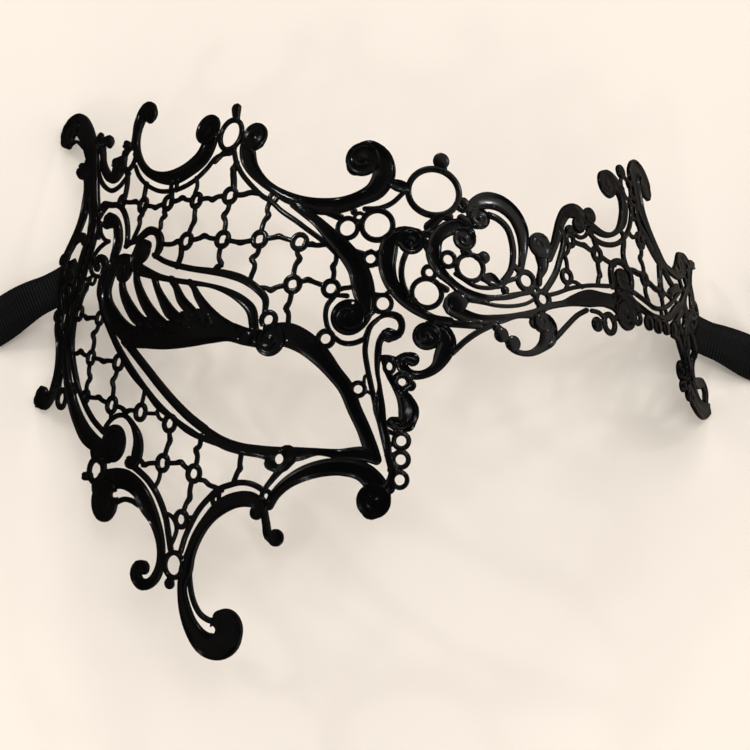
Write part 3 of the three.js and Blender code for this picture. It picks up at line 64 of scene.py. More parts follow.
PATTERN = """
# crown, left scroll
b -84.87 78.51 4.4 -86.17 80.43 4.4 -88.55 80.91 4.8 -89.94 77.96 4.41 -90.16 74.81 3.17 -89.59 70.8 3.18 -86.87 66.64 2.2 -83.78 63.16 2.17 -80 60.39 2.5 -75.02 58.24 3.22 -69.99 57.44 4.33 -65.41 58.38 4.46 -61.04 60.77 4.94 -59.2 64.8 5 -60.2 67.8 6
c -60.52 68.31 4.02 -40 1
w 1.18 -88.16 64.76 -85.79 61.51 -82.99 58.92 -80.14 56.95 -76.08 54.89 -72.02 53.9 -67.98 53.67 -63.32 54.67 -59.21 57.06 -56.46 59.5 -53.5 60.05 -51.6 59.9 -50.49 60.91
w 0.9 -71.3 56.4 -71.2 53.6
w 0.9 -69.3 56.4 -69.3 53.36
w 1.3 -71.04 54.09 -70.62 52.3
r -52.3 65.06 3.44 4.04 1.37
b -50.99 69.02 1.7 -51.35 70.6 2.37 -51.49 72.14 2.72
# crown, middle scroll
b -43.13 61.3 3.4 -44.35 63.48 6.2 -46.4 61.2 4.4 -46 58.07 4.54 -44.37 54.54 3.58 -41.26 50.85 2.62 -37.91 48.03 2.3 -34.1 45.42 2.83 -29.48 43.35 3.2 -24.54 41.85 4.16 -19.5 41.91 4 -14.78 43.39 3.8 -11.19 45.35 4.97 -9.17 49.31 5.88 -10.08 53.03 6.4 -12.9 54 8.63 -15.51 53.58 6.8 -16.13 51.85 5
c -44.54 62.93 3.77 250 -1
c -14.51 53.46 4.34 0 1
r -37.54 45.67 1.01 1.04 1.15
w 1.31 -50.7 60.51 -49.47 56.97 -47.26 53.35 -43.9 49.6 -40.69 46.51 -38.29 44.93 -35.09 41.88 -31.06 38.83 -27.99 36.31 -24.93 33.88 -22.69 31.9 -20.85 29.9
w 1.71 -49.44 49.67 -49.75 52.41 -50.12 54.51 -49.37 56.73
d -50.1 55.3 1
w 1.2 -13.9 40.6 -10.41 40.64 -7.27 41.9 -4.2 44.8
b -8 47.2 1.8 -5.4 46.29 3.03 -3.44 45.73 2.4
# brow band down to its curl
b -31.69 43.38 2.6 -28.84 40.79 2.4 -25.73 38.19 2.67 -22 34.2 3.6 -18.69 30.5 4.4 -15.48 25.65 5 -14.13 20.48 5.46 -13.68 15.49 4 -15.71 12.57 4.4 -17.71 12.55 5.8
c -17.54 13.96 4.35 -30 -1
h -16.61 17.36 0.36 0.38
w 1.11 -20.48 20.5 -18.96 21.04 -17.8 21.11 -16.4 21.3
b -20.39 19.32 0.8 -19.03 19.29 1.13 -17.97 19.14 1.2
w 1.21 -21.06 19.16 -22.61 17.3 -23.11 15 -22.65 12.03 -21.73 10.15
w 1.25 -21.18 9.46 -19.44 8.07 -17.5 7.63 -15.37 7.99 -13.79 8.78
# upper net
r -91.76 55.6 1.28 1.59 1.28
r -81.91 52.34 1.46 1.7 1.4
r -71.8 50.66 1.55 1.69 1.36
r -61.47 49.08 1.52 1.71 1.32
n -50.45 48.24
n -51.63 37.03
n -63.62 38.75
n -40.73 35.38
n -29.97 33.38
n -31.4 22.99
n -21.88 21.18
n -37.41 14.87
n -23.05 9.08
k -91.76 55.60 -81.91 52.34 0.63 0.62 -0.16
k -81.91 52.34 -71.80 50.66 0.54 -1.02 0.15
k -71.80 50.66 -61.47 49.08 0.49 1.04 -0.31
k -61.47 49.08 -50.45 48.24 0.50 -0.45 0.45
k -50.45 48.24 -51.63 37.03 0.46 -0.90 0.75
k -61.47 49.08 -63.62 38.75 0.50 1.20 -0.15
k -63.62 38.75 -51.63 37.03 0.50 1.12 -0.30
k -51.63 37.03 -40.73 35.38 0.51 -0.88 0.00
k -40.73 35.38 -29.97 33.38 0.48 1.05 -0.15
k -29.97 33.38 -31.40 22.99 0.39 0.78 -0.62
k -31.40 22.99 -21.88 21.18 0.37 1.46 0.00
k -29.97 33.38 -22.90 32.20 0.46 -0.30 -0.30
k -21.88 21.18 -20.60 30.46 0.57 0.33 -0.42
k -31.40 22.99 -40.77 23.20 0.61 1.00 -0.31
k -31.40 22.99 -32.30 13.08 0.60 -1.00 0.45
k -40.73 35.38 -38.30 45.26 0.61 -0.70 0.60
k -40.73 35.38 -42.74 25.56 0.50 -0.95 1.05
k -51.63 37.03 -53.40 28.80 0.76 1.54 -0.87
w 1.35 -48.8 48.11 -46.3 47.81 -44.19 48 -41.68 47.38
w 1 -62.29 51.1 -61.7 52.98 -62.37 55.38
k -71.80 50.66 -73.57 44.29 0.51 0.51 -0.90
k -81.91 52.34 -84.30 43.26 0.36 0.15 0.90
w 1.4 -81.96 53.96 -81.79 57.95
k -63.62 38.75 -73.03 39.80 0.30 -0.15 0.45
w 1.54 -65.02 37.66 -64.93 35.18 -65.96 32.57
w 1.61 -90.55 56.8 -90.43 59.51 -90.87 62.28 -91.96 64.96
# upper left, scrolls beside the stem
r -91.35 67.78 2.63 3.23 1.49
b -94.51 72.67 2.42 -93.2 72.15 2 -92.63 70.89 1.8
d -94.27 70.15 1.2
b -103.01 75.56 2.97 -104.41 76.79 3 -107.11 76.23 2.6 -105.65 72.98 2.13 -104.49 70.02 2.3 -102.36 67.04 2.58 -99.33 64.37 2.6 -96.52 63.53 2.6 -94.37 65.34 2.8 -94.18 68.08 2.6 -97.01 68.43 2.4 -98.38 68.44 2.6
d -96.8 66.4 2.2
w 1.3 -107.05 69.17 -105.4 66.5 -103.21 63.88 -100.54 61.7 -97.21 60.18 -94.16 60.49 -92 61.8 -90.46 63.17
w 1.2 -108 69.8 -105.8 68.8 -103.7 67.55
r -108.83 76.41 1.44 1.83 1.18
d -109.76 78.88 1.74
w 1.1 -109.63 75.26 -107.59 74.32 -105.6 74.6
w 1.2 -109 73.8 -107.98 70.96 -106.4 68.6
# temple leaf and stem
b -127.28 82.62 3.6 -129.69 84.83 5.4 -130.9 88 6.6 -127.52 88.38 6.8 -123.18 86.88 6.08 -118.32 82.88 5.9 -114.03 77.73 5.63 -110.35 71.75 5 -108.2 65.5 5.2 -106 60 4.6 -104.25 55.05 4.4 -104.54 51.49 3.4
c -129.2 86.34 4.4 120 1
w 1 -126.95 81.64 -124.05 82.17 -121.02 80.57 -118.12 78.42
b -113.2 73 3 -111.73 68.38 3.4 -110.2 64.5 3.6 -109.8 60 3.67 -110.22 56.01 3.21 -111.62 52.51 2.79 -113.58 49.07 3.2 -116.05 46.2 2.6
b -116.72 71.53 3.85 -115.01 70.56 4.75 -112.31 69.83 4.6
b -107.4 48 2.2 -108.75 49.95 2.2 -111.5 49.7 2.4 -114.42 48.43 2.6 -116 45.2 2.6 -116.9 42 2.4 -117 38.5 2.6 -116.6 34 2.8 -115.11 30.1 2.6 -115.61 26.41 3.4 -113.76 22.04 4.2 -113.15 17 4.2 -114.07 13.05 3.2 -115.51 9.55 3
d -117.76 45.37 1.71
c -113.07 39.24 2.3 180 -1
b -113.5 36.8 2.4 -113 34.5 3.6 -112 31.5 2.6 -112.2 29.5 1
r -116.99 29.51 1.23 1.25 1.17
b -116.91 25.72 1.19 -115.77 25.13 2.2 -114.81 23.8 3
b -105.22 52.12 2 -105.23 48.43 2.1 -106.45 44.98 2.66 -107.51 42 2.53 -108.66 38.52 2.37 -109.13 34.92 2.2 -110.29 31.02 2.3 -110.9 27 2.5 -111.5 22.6 4 -111 18 3.4 -109.61 13.59 2.7 -108.49 9.6 3.04 -107.04 6.77 3.4 -105.41 3.29 3.75 -102.59 -1.07 4.16 -98.82 -5.43 4.75 -94.07 -8.67 4.3 -89.53 -11.3 5.4 -87 -9.4 7
c -87.06 -9.15 4.78 -60 1
w 1.9 -102.6 51.5 -102.71 47.41 -103.78 43.39 -105.09 39.47 -106.28 35.52 -107.3 31.5 -107.76 27.42 -108.08 23.49 -108.01 19.58 -107.13 16.05 -105.88 12.63 -104.4 9.29
w 1 -106.9 44.3 -104.2 43.6
w 1 -107.3 42.2 -104.6 41.8
w 1 -108 39.9 -105.3 39.5
w 1 -108.6 37.7 -105.8 37.5
w 1 -108.9 35.4 -105.73 35.03
w 1 -109.6 33.6 -106.32 33.37
w 1.52 -104.28 9.46 -102.93 6.81 -101.34 4.49 -99.33 1.72 -95.81 -2.13 -91.81 -5.35
r -105.07 7.71 1.1 1.11 1.18
b -123.77 7.44 4 -122.34 8.14 6.24 -119.62 6.39 4.4 -116.8 7.5 3.2 -115.51 9.75 2.8
r -111.43 5.97 2.1 2.29 1.56
# arch and curls left of the eye
w 1.62 -101.7 56.25 -100.46 57.11 -99.05 56.84 -97.03 55.99 -94.15 55.33 -91.75 54.1 -89.39 51.54 -87.72 48.46 -86.81 45.05 -86.76 42.9
w 1.1 -101.4 53.4 -100.28 54.51 -99.18 55.39 -97.17 56.48
w 1.5 -87.03 42.22 -85 42.83 -82.3 42.59
b -97.13 51.63 4.04 -95.14 51.07 4.03 -92.62 49.69 2.88 -91.13 46.49 3.12 -90.87 43 3.29 -92.17 39.68 2.2
d -96.74 51.48 2.31
w 1.1 -102.3 52.6 -100.6 51.8 -99.77 48.97 -97.66 46.6 -95.3 45.35
w 1.2 -95.37 45.5 -97.72 45.07 -100.12 43.99 -101.9 42.06 -102.29 39.5 -101.06 37.64 -99.15 36.72 -96.8 36
w 1 -102.6 50 -101.66 48.2 -100.28 47.51 -99.57 48.87
w 0.9 -101.6 51 -101.4 49.4 -100.6 48.2
b -99.11 38.97 2.2 -99.8 40.5 2 -98.58 41.53 2 -96.39 40.5 2.4 -95.2 38.4 2.6 -95.9 35.5 2.6 -96.42 32 2.3 -95.33 28.67 1.8 -94.6 26.2 1.6 -92.21 23.05 1.7 -88.66 18.06 1.71 -84.21 12.46 1.91 -79.89 7.61 2.04 -74.88 2.72 1.6 -70.12 -2.03 1.87 -64.92 -5.89 1.42 -59.92 -9.34 1.75 -55.61 -11.6 1.5 -50.51 -12.85 2.88
r -100.73 36 1.29 1.24 0.86
w 1 -106 36.8 -104.64 37.18 -103.08 36.5 -103.1 34.25 -104.61 32.5 -105.48 30.36 -106.15 28.97
w 0.9 -102.28 36.96 -103.18 36.24
r -105.68 27.89 1.51 1.7 1.24
r -95.47 24.6 1.48 1.59 1.18
r -98.29 14.6 1.52 1.67 1.11
r -99.74 4.7 1.24 1.36 1.3
n -85.97 11.33
n -88.19 0.73
n -76.64 -2.74
n -66.18 -6.88
n -68.61 -16.18
n -58.45 -19.77
n -62.85 -30.17
k -105.68 27.89 -95.47 24.60 0.42 -0.81 0.17
k -95.47 24.60 -98.29 14.60 0.42 -1.50 0.97
k -98.29 14.60 -107.34 17.20 0.61 -1.16 0.29
k -98.29 14.60 -85.97 11.33 0.47 -0.40 0.25
k -98.29 14.60 -99.74 4.70 0.53 1.05 -0.75
k -99.74 4.70 -88.19 0.73 0.48 0.83 -0.22
k -85.97 11.33 -88.19 0.73 0.45 -1.28 0.66
k -88.19 0.73 -76.64 -2.74 0.52 -0.79 0.43
w 1 -76.33 -1.13 -75.68 0.7 -75.2 2.6
w 1 -75.1 -3.18 -72.76 -3.56 -70.88 -3.73 -70 -2.8
w 0.9 -70.63 -3.54 -69.69 -5.18 -67.39 -6.17
k -66.18 -6.88 -68.61 -16.18 0.41 1.20 -0.15
k -68.61 -16.18 -58.45 -19.77 0.55 1.59 -0.14
k -58.45 -19.77 -56.10 -10.93 0.62 0.69 -0.71
k -68.61 -16.18 -77.24 -14.20 0.76 1.26 -0.26
w 1 -69.29 -17.55 -69.9 -19.85 -71.5 -21.8
w 1.19 -57.46 -21.3 -55.13 -21.77 -53.9 -22.86 -52.16 -23.53 -50.17 -24.49
k -62.85 -30.17 -58.45 -19.77 0.49 -0.90 0.34
k -44.47 -16.37 -46.66 -22.66 0.50 0.75 -0.15
w 1 -61.28 -29.89 -59.19 -29.99
# arch over the stem's curl
b -91.61 -5.76 1.2 -89.27 -3.53 1.2 -85.99 -2.37 1.29 -82.54 -2.87 1.3 -79.46 -5.49 1.58 -77.36 -9.24 2.79 -77.69 -12.94 3.56 -79.2 -15.4 2.6 -80.6 -14.6 3.2
w 1 -88.32 -0.99 -88.39 -2.61
# big eye scroll and the lash fan
b -84.59 38.27 2.4 -87.69 38.74 3.1 -91 37.8 3.3 -92.53 34.75 3.4 -93.43 31.5 3.4 -92.41 27.9 3.8 -89.81 24.03 4.8 -85.6 20.18 4.83 -81 17.2 5.4 -74.91 16.16 6.2 -68 15.34 7.2 -60.02 14.85 7.4 -53.06 13.99 5.8 -47.93 13.18 4.66 -43.58 11.52 4.3 -40 10.58 4.36
c -86.44 35.47 3.2 80 1
w 2 -87.11 32.99 -86.18 30.11 -84.45 26.59 -81.42 22.67 -78.5 20
b -81.49 34.48 1.7 -80.73 31.63 2.05 -78.65 27.82 2.5 -75.7 23.75 2.97 -72.27 20.36 3 -69.13 18.22 2.4
b -74.01 31.1 1.8 -72.44 28.04 1.83 -69.94 24.35 2.49 -67.14 20.86 3.2 -63.81 18.66 2.4
b -67.71 29.6 1.86 -65.77 27.18 1.8 -63.64 23.63 2.53 -60.84 20.77 2.7 -58 18.4 2.4
b -61.23 27.72 1.62 -59.77 26.02 1.5 -58.14 23.44 2.04 -55.36 20.05 2.6 -51.74 16.47 3.2 -47.59 13.9 3
b -86.95 32.18 1.95 -86 29.75 2.3 -83.74 26.32 2.88 -80.49 22.55 3.36 -77.34 19.96 3.2
b -78.3 40.24 3.4 -80.2 39.7 4.8 -82.2 38.2 3.6 -81 35.25 3.4 -76.98 33.04 2.63 -71.96 30.91 1.8 -65.99 28.94 1.4 -60.02 27.24 1.4 -54.96 25.81 1.13 -49.91 23.76 1.58 -45.27 20.96 2.29 -42.07 17.67 2.67 -41.28 13.79 2.4 -41 11.5 2.6
c -79.99 39.29 3.27 200 -1
b -83 42.8 1.3 -80.44 43.63 2 -77.82 44.39 2.25 -75.04 43.44 2.1 -73.18 41.27 2.42 -73.08 38.79 2.26 -74.38 36.88 1.5
b -74.89 37.32 1.4 -70.68 34.81 1.46 -65.66 32.71 1.6 -59.97 30.79 1.54 -54.96 29.44 1.71 -49.97 27.97 1.96 -45.13 25.98 2.08 -40.97 23.12 2 -38.36 19.89 1.74 -38.63 16.02 1.1
w 2.25 -81.63 14.48 -74.78 7.92 -69.77 2.94 -64.9 -1.69 -59.86 -6.03 -54.84 -9.68
b -55.84 -8.96 1.75 -50.04 -13.08 2.83 -44.99 -15.08 2.87 -39.93 -16.21 2.95 -34.99 -17.27 3.6 -29.99 -17.54 3.33 -25.01 -17.28 1.75 -20.01 -18 2.4 -13.96 -18.28 3.4 -11.34 -19.57 2.4
b -36.6 -19.2 3.4 -34.46 -19.62 4.2 -32.44 -17.72 5.01
h -34.57 -18.34 1.16 1.19
d -43.27 11.16 1.9
h -39.08 13.06 0.49 0.5
# nose-side band of the eye
b -37.5 11.16 5.2 -32.56 10.76 5.88 -28.09 8.47 5.59 -24.38 5.13 4.9 -21.11 1.06 3.87 -18.21 -2.88 3.7 -16.33 -7.72 3.4 -14.22 -12.47 3.3 -12.55 -17.11 3.4 -11.44 -19.38 2.6
c -36.97 9.89 3.89 60 1
r -15.46 -3.2 1.59 1.56 1.1
w 0.8 -14 -2.16 -13.93 -0.36 -12.74 0.43
w 0.8 -14.52 -4.32 -13.19 -3.83 -12.42 -4.4
# nose strip
b -13.6 8.8 1.62 -12.54 11.56 1.3 -10.4 13.58 0.96 -8.21 14.42 1.5 -5.9 13.6 1.8 -5.22 11.6 1.67 -5.99 9.68 1.96 -8.23 9.39 3.53
w 1.33 -13.29 9.47 -13.78 6 -13.21 1.53 -12.22 -3.43 -11.39 -7.43
b -9 9.6 2.4 -10.29 8.14 1.66 -10.81 4.98 1.67 -10.99 0.99 1.17 -10.46 -3 1.17 -10.7 -7 2.91 -10.06 -10.98 2.3 -9.21 -14.94 2.2 -8.54 -18.91 1.8 -7.66 -22.99 2.15 -8.6 -26 3
r -9.59 16.99 2.02 2.11 1.13
w 1.1 -12.7 14.25 -11.34 15.32 -10.69 15.04
w 1 -12.05 12.05 -10.61 13.41
b -2.86 3.59 3.24 -4.58 3.99 2.6 -6.6 3.13 2.4 -8.44 4.06 1.4 -10.03 4.15 1.2
b -9.51 3.87 1.6 -8.48 0.46 1.6 -6.75 -2.69 1.96 -4.98 -5.39 3.46 -3.9 -8.61 4.87 -5.2 -11.2 3.4 -7.62 -11.11 2.8
r -8.22 1.98 1.16 1.5 0.98
r -5.33 -1.7 1.74 1.75 1.71
d -3.4 -2.53 1.31
b -4.58 -6.03 3.83 -3.89 -8.8 4.83 -4.31 -11.28 4
r -5.64 -15.28 1.72 1.76 1.17
r -5.8 -19.56 1.76 1.79 1.2
r -6.09 -24.16 1.73 1.77 1.14
w 1.1 -8.6 -13 -6.58 -14.01
w 1.2 -8.6 -11.2 -6.6 -12.8
w 1.2 -8.8 -16.4 -7.3 -15.84
w 1.2 -8.99 -18.55 -7.28 -18.43
w 1.4 -8.28 -21.85 -7 -22
# cheek scroll, left
b -89.5 -23.4 4 -92 -22.6 5 -92.15 -18.57 5.2 -87 -17.98 5.33 -82.37 -18.71 5 -77.56 -21.49 4.51 -74.49 -25.59 4.87 -71.69 -29.86 3.37 -70.04 -34.96 2.5 -70.29 -39.55 2.4 -71.9 -42.6 2.71 -74.61 -44.34 2.58 -77.96 -44.3 3.08 -79.72 -41.8 3.6 -78.59 -40.02 2.8 -76.46 -40.58 3.47
c -90.97 -22.96 5.33 100 1
w 1.37 -88.5 -24.6 -85.94 -23.85 -83.01 -23.47 -80.07 -24.18 -77.37 -25.54
w 1.62 -79 -16 -76.84 -17.45 -74.07 -19.59 -71.44 -22.48 -69.24 -26.12 -67.83 -29.88 -67.26 -33.49 -66.74 -36.98
w 1 -67.94 -28.32 -66.34 -28.99 -64.99 -30.35 -64.46 -32.42 -65.41 -34.39 -66.55 -35.9
w 1 -65.36 -29.32 -64.21 -29.52
r -94.44 -14.99 3.02 2.92 1.71
b -99.45 -15.86 2.26 -97.23 -16.13 2.3
b -95.99 -10.08 1.6 -94.47 -12.05 2.4 -92.18 -13.02 2
b -94.92 -17.9 2.2 -94.55 -19.87 2.6
w 1.6 -90.9 -13.4 -90.88 -15.84
r -66.02 -40.72 2.96 2.93 1.31
b -67.26 -43.72 1.8 -67.69 -44.82 2.99
# cheek scroll, right
b -40.69 -30.32 3.4 -39.8 -28.6 3 -42.07 -27.21 3.66 -46 -26.97 3.75 -50.54 -28.32 3.7 -54.44 -30.97 2.97 -57.82 -34.45 2.96 -60.29 -38.43 3 -61.92 -41.81 4.02 -63.53 -46 2.62 -63.27 -50.48 3.41 -61.62 -55.19 4.38 -58.26 -59.09 5.66 -53.49 -60.39 5.87 -49.75 -58.95 5.4 -48.75 -56.08 5 -50.09 -54.3 5.2 -52.45 -53.97 4.2
c -50.83 -56.34 4.73 -60 1
w 1.41 -60.9 -40.5 -61.02 -45.03 -60.41 -49.03 -58.58 -52.38 -55.84 -54.09 -53.5 -54.3
w 1.41 -63.42 -37.69 -61.87 -34.57 -59.75 -31.49 -56.87 -28.15 -53.94 -25.89 -51.3 -24.2 -47.9 -23.39 -45.02 -23.06 -42.09 -23.54 -39.58 -24.77 -38.67 -25.57
b -38.6 -25.2 1.1 -36.18 -22.72 1.41 -34.13 -20.68 1.8
r -38.07 -26.66 1.13 1.23 1.14
r -51.96 -26.4 0.86 0.92 0.92
w 1 -53.2 -26 -52.77 -27.59
w 1 -50.86 -25 -51.1 -26.57
b -38.8 -27.6 1.6 -38.6 -30.5 1.9 -38.23 -32.96 2.01 -37.72 -35.67 2.42 -35.82 -36.24 3.85
d -35.86 -36.3 2.02
b -37.37 -28.82 2.4 -35.72 -26.49 2.49 -32.89 -24.16 2.84 -28.91 -22.24 3.5 -23.98 -21.05 3.96 -19.03 -20.97 4.2 -14.65 -22.16 4.6 -11.48 -25.45 5.2 -10.85 -28.88 5.4 -12.67 -30.64 5
c -12.12 -28.82 4.04 60 -1
# centre
r 3.18 44.95 6.39 5.99 1.57
w 2.4 5.64 50.89 5.3 53
d 5.37 53.08 2.09
r -10.84 36.39 3.76 3.74 1.4
r -18.03 35.91 2.45 2.51 1.19
r -15.19 38.58 1.13 1 0.88
d -16.5 40 0.9
r -12.42 28 1.68 1.69 1.13
w 1.6 -14.6 36.35 -15.43 36.14
w 2 -14.27 28.99 -16.34 29.73
w 1.6 -10.93 29.09 -9.98 29.61
w 1.17 -13.24 29.4 -12.28 29.84
w 1.2 -19.52 33.96 -20.2 33.4
w 1.4 -8.54 33.51 -9.14 33.11
w 1.4 -10.99 26.99 -11.17 26.69
w 1.2 -11.57 19.25 -10.32 19.02
w 1.1 -8.64 19.45 -7.8 20
b -2.18 32.9 5.6 -4.42 33.89 4.2 -7.29 32.71 4.2 -8.32 29.42 4.66 -8.51 25.5 4.16 -7.33 21.44 3.4 -4.58 17.73 2.8 -1.32 15.22 2.4 2.1 13.51 1.9 6 12.8 2.2
c -2.73 32.37 3.3 150 -1
w 1.45 -3.9 29.6 -4.9 26.94 -5.2 24 -4.7 21.2 -3.8 19.2
r 0.7 19.58 3.54 3.53 1.28
r 1.43 24.63 1.48 1.54 1.18
w 1.4 -3.2 17.8 -2.12 17.71
w 1.6 3.87 21.43 5.4 20.6
w 1.2 2.63 25.47 3.6 26.2
b 10.2 32.9 3.6 11.84 34.16 3 9.6 36.4 3.8 6.38 35.8 3.8 3.49 33.35 3.5 2.55 29.7 3.88 3.64 25.52 3 6.59 22.52 2.04 9.53 20.24 2.4 12.95 19.06 2.5 17.01 19.33 1.4 20.95 20.08 1.6 24.68 21.16 1.29 28 22.2 1.4
c 10.39 33.43 2.9 0 1
r 6.03 28.03 1.7 1.77 1.14
r 11.45 26.34 3.32 3.29 1.24
w 1.4 7.14 26.67 8.18 26.96
w 2.4 10.3 30.47 10.91 30.04
w 1.8 13.44 29.08 14.35 29.26
d 15 29.11 1.54
w 1 7.7 24.6 9.57 23.46 12.4 21.9 16.01 21.69 19.6 22.6
b 14.6 23.93 1.6 16.23 23.96 3.2 18.58 22.76 2.17 20.84 23.83 1.3 23.6 24.9 1.2
w 1.2 19.07 23.38 20.5 20.4
r 26.15 24.57 2.22 2.16 1.37
r 30.72 20.54 1.91 1.9 1.39
r 28.55 22.28 1.07 1.09 1.14
w 1.2 23.95 27.33 24.71 26.01
b 9.5 18.1 2.6 7.67 18.64 3.4 6.15 16.69 3.6 8.8 14.8 3.2 12.98 13.67 2.7 18.01 14.14 2.4 22.98 15.58 1.46 28.31 16.79 2.2 31.7 18.75 1.84 37.27 20.43 1.76 41.11 21.82 3 46 23.1 4.4 52 23.77 3.67 57 23.6 4.8 61 22 7.6
w 0.92 10.76 18.24 14.05 17.99 18.01 17.55 22.07 17.84 26.16 18.98 29.24 20.91
d 8 17.6 2.4
b 13.62 38.49 4.6 13 41.6 3.6 16.05 43.65 4.2 20.23 43.48 4.29 24 41 4.04 25.96 36.99 3.67 25.99 33 2.59 25.39 29.48 1.87 24.8 26.8 1.6
c 14.55 38.97 2.7 160 -1
w 1.6 16.94 40.13 19.3 39.45 21.89 37.25 23.02 33.01 22.86 29.47 21.94 26.4 19.91 23.76
w 2.4 10.6 42.8 11.8 41.4
w 2.2 9.8 38.6 11.6 37.8
w 1.6 5.6 38.6 7 38.8
w 2 1.54 34.37 0.07 33.93
b 0.2 32.6 1.8 1.49 30.25 2
b -2.21 9.92 1 0.82 9.42 6.8 3.6 10.4 4.6 5.15 7.97 4.6 4.13 4.68 4.13 2.3 1.68 2.55 -0.76 0.06 2.08 -3.76 0.28 2.4 -5.4 2.4 2.8 -4.41 3.91 2.8 -2.88 3.65 3.28
c 0.45 9.19 3.33 60 1
b 5.4 12.45 1.8 9.01 12.35 1.8 13 12.6 2.4
w 1.5 6.48 5.48 9.61 8.39 12.89 10.77 16.6 12.8
d 18.72 10.51 1.81
d 21.69 8.66 1.93
w 2 17.4 12.23 19.01 11.31
b 28.2 14.57 3.4 30.6 15.4 3.8 32.53 13.97 3.6 31.67 11.17 4.67 29.88 8.85 2.79 27.06 7.02 1.7 23.99 6.57 1.33 21.53 7.31 1.4 20.15 9.03 1.2
c 30.2 14.8 2.7 40 -1
w 1.36 32.09 9.64 34.69 11.99 38.05 15.14 41.63 18.13 44.85 19.87
w 1.6 29.7 18.62 30 17
# right brow
b 31.23 34.47 5.8 31.45 31.5 4.2 31.32 28.38 2.67 30.23 26.16 1.66
c 30.98 34.23 3.19 180 -1
b 45.08 41.54 3.6 47 44 3.2 44.61 45.31 4 41.32 44.7 3.38 38.69 41.7 2.75 37.08 38.14 2.6 35.5 34.71 2.2 33.53 31.16 2
c 45.03 42.02 2.1 60 1
w 1.61 39 38.8 38.81 35.95 37.27 31.97 35.33 27.8 32.85 24.33 31.16 22.32
w 1 37.6 38.6 39.4 38
c 49.77 45.37 2.18 200 -1
w 2.6 46.6 44.6 48.87 45.71
w 1.06 42.44 40.14 44.51 38.67 47 39.4 48.6 41.2
c 41.59 39.61 1.69 270 1
r 41.27 37.25 1.27 1.56 1.27
r 51 35.44 1.53 1.65 1.42
r 38.9 27.48 1.5 1.61 1.29
k 41.27 37.25 51.00 35.44 0.51 0.59 -0.15
w 1.6 50.35 39.51 51.14 37.23
k 51.00 35.44 50.10 27.50 0.69 0.88 -0.24
w 1.24 52.3 35.26 54.92 34.51 58.02 33.98
w 1 39.29 28.75 39.29 31.26 38.8 32.9
w 1 38.8 32.9 40.02 33.94 40.79 36.13
w 0.9 38.06 24.02 39.09 25.49 40.38 26.37 41.99 26.47 44.13 25.61
w 1.1 32.8 21.9 35.5 22.8 39.5 24.5 43 25.6 48 26.8 54.8 27.9 57 28.4
b 48.2 43.6 2.6 50.92 42.25 2.29 54.49 41.55 1.75 58.03 42.11 1.38 61.38 43.88 1.58 64.28 46.74 2.76 66.25 50.68 3.2 66.6 54.6 4 63.87 57.5 4.2 60.67 58.66 3.6 57.98 56.83 3.4 59.6 54.8 3.6
c 59.78 56.28 3.74 60 1
w 1.37 48.4 41.2 50.42 39.54 53.5 38.87 57 39.2 61.03 40.54 64.56 42.82 67.37 45.63 69.23 48.43 70.47 51.39 70.6 54.5
w 1.4 48.4 43 49.67 40.51
h 48.5 42.12 0.3 0.31
w 1.65 64.2 43.6 63.77 40.9 62.92 38.72 62.71 37.03 63.34 35.22
w 1.2 63 44.6 64.55 42.66
w 1.88 56.23 28.2 56.06 31.54 57.03 33.97 59.51 35.3 62.47 35.23 64.68 33.67 65.33 31.29 64.53 28.59
c 60.54 30.75 2.94 -60 1
b 57.86 30.3 2.4 59 28.4 4.4 62.6 27.39 4.4
c 60.8 21.8 4.3 100 -1
b 57 25 3.4 61 25.6 6 64.96 24.86 3.6
r 53.45 17.95 2.11 2.31 1.58
c 48.66 17.01 1.91 0 1
w 1.1 46.86 20.14 49.46 20.09 51.76 19.01
w 1.2 54.99 19.15 57 20.4
w 1.6 50 17.6 51.4 17.8
# right crown
r 69.79 57.75 2.39 3.16 1.15
c 68.61 62.08 1.94 270 1
w 1.6 68.8 61.4 69.2 60.8
w 2.4 67.25 56.65 66.2 55.6
b 82.43 59.44 3.8 83.23 62.29 4 81.44 65.16 4.6 78.39 65.83 4.8 75.72 62.88 5.4 75.84 58.5 5 75.74 53.93 4.8 77.22 50.41 3.8 79.56 46.94 3 82.73 43.31 2.6 86.5 40.34 2.13 91 39.6 2.2 95 39.4 2 98.82 40.72 2 100.6 43.4 3.6 99.33 45.21 3.6
c 82.01 60.87 3.12 -60 -1
w 2 71.91 59.35 73.6 60.2
w 1.8 72.26 55.71 73.8 55.4
w 1.4 70.19 53.64 72.6 53.4 74 54.2
w 1.2 71 49.46 73.4 50 75.6 50.8
w 1.8 73.2 53 73.31 49.07 76.4 46.4 79.4 43.6 82.6 40.8 86 38.5 89.72 36.03 94 35.2
b 80 42.8 2.6 83 40.8 2.4 85.4 39.4 1.2
r 72.99 43.96 1.5 1.78 1.62
r 72.5 33.42 1.33 1.45 1.57
r 81.69 32.04 1.24 1.3 1.36
w 1.1 73.8 45.8 73.4 47.98 73.4 50
w 1.1 71.64 45.11 68.99 44.02 66.79 45.1
w 1.4 74.03 44.73 75.89 45.58
k 72.99 43.96 72.50 33.42 0.50 -1.30 0.75
w 1.64 65.84 34.3 67.68 34.44 68.81 34.26 71.02 34.35
w 1.59 73.72 33.21 76.12 32.62 77.61 32.15 80.44 32.1
w 1.3 72.42 32.2 72.21 29.61 73.34 27.44
w 1.91 82.03 33.23 82.28 35.98 82.48 36.99 82.9 39.2
w 1.4 81.62 30.74 81.8 28
w 1 82.57 32.32 86.31 31.96 88.6 31.2
w 1.3 63.32 28.85 68 28.1 72 27.3 76.02 26.54 80.14 27.09 84.21 28.47 88.17 30.57 91.97 33.06 95.86 35.62
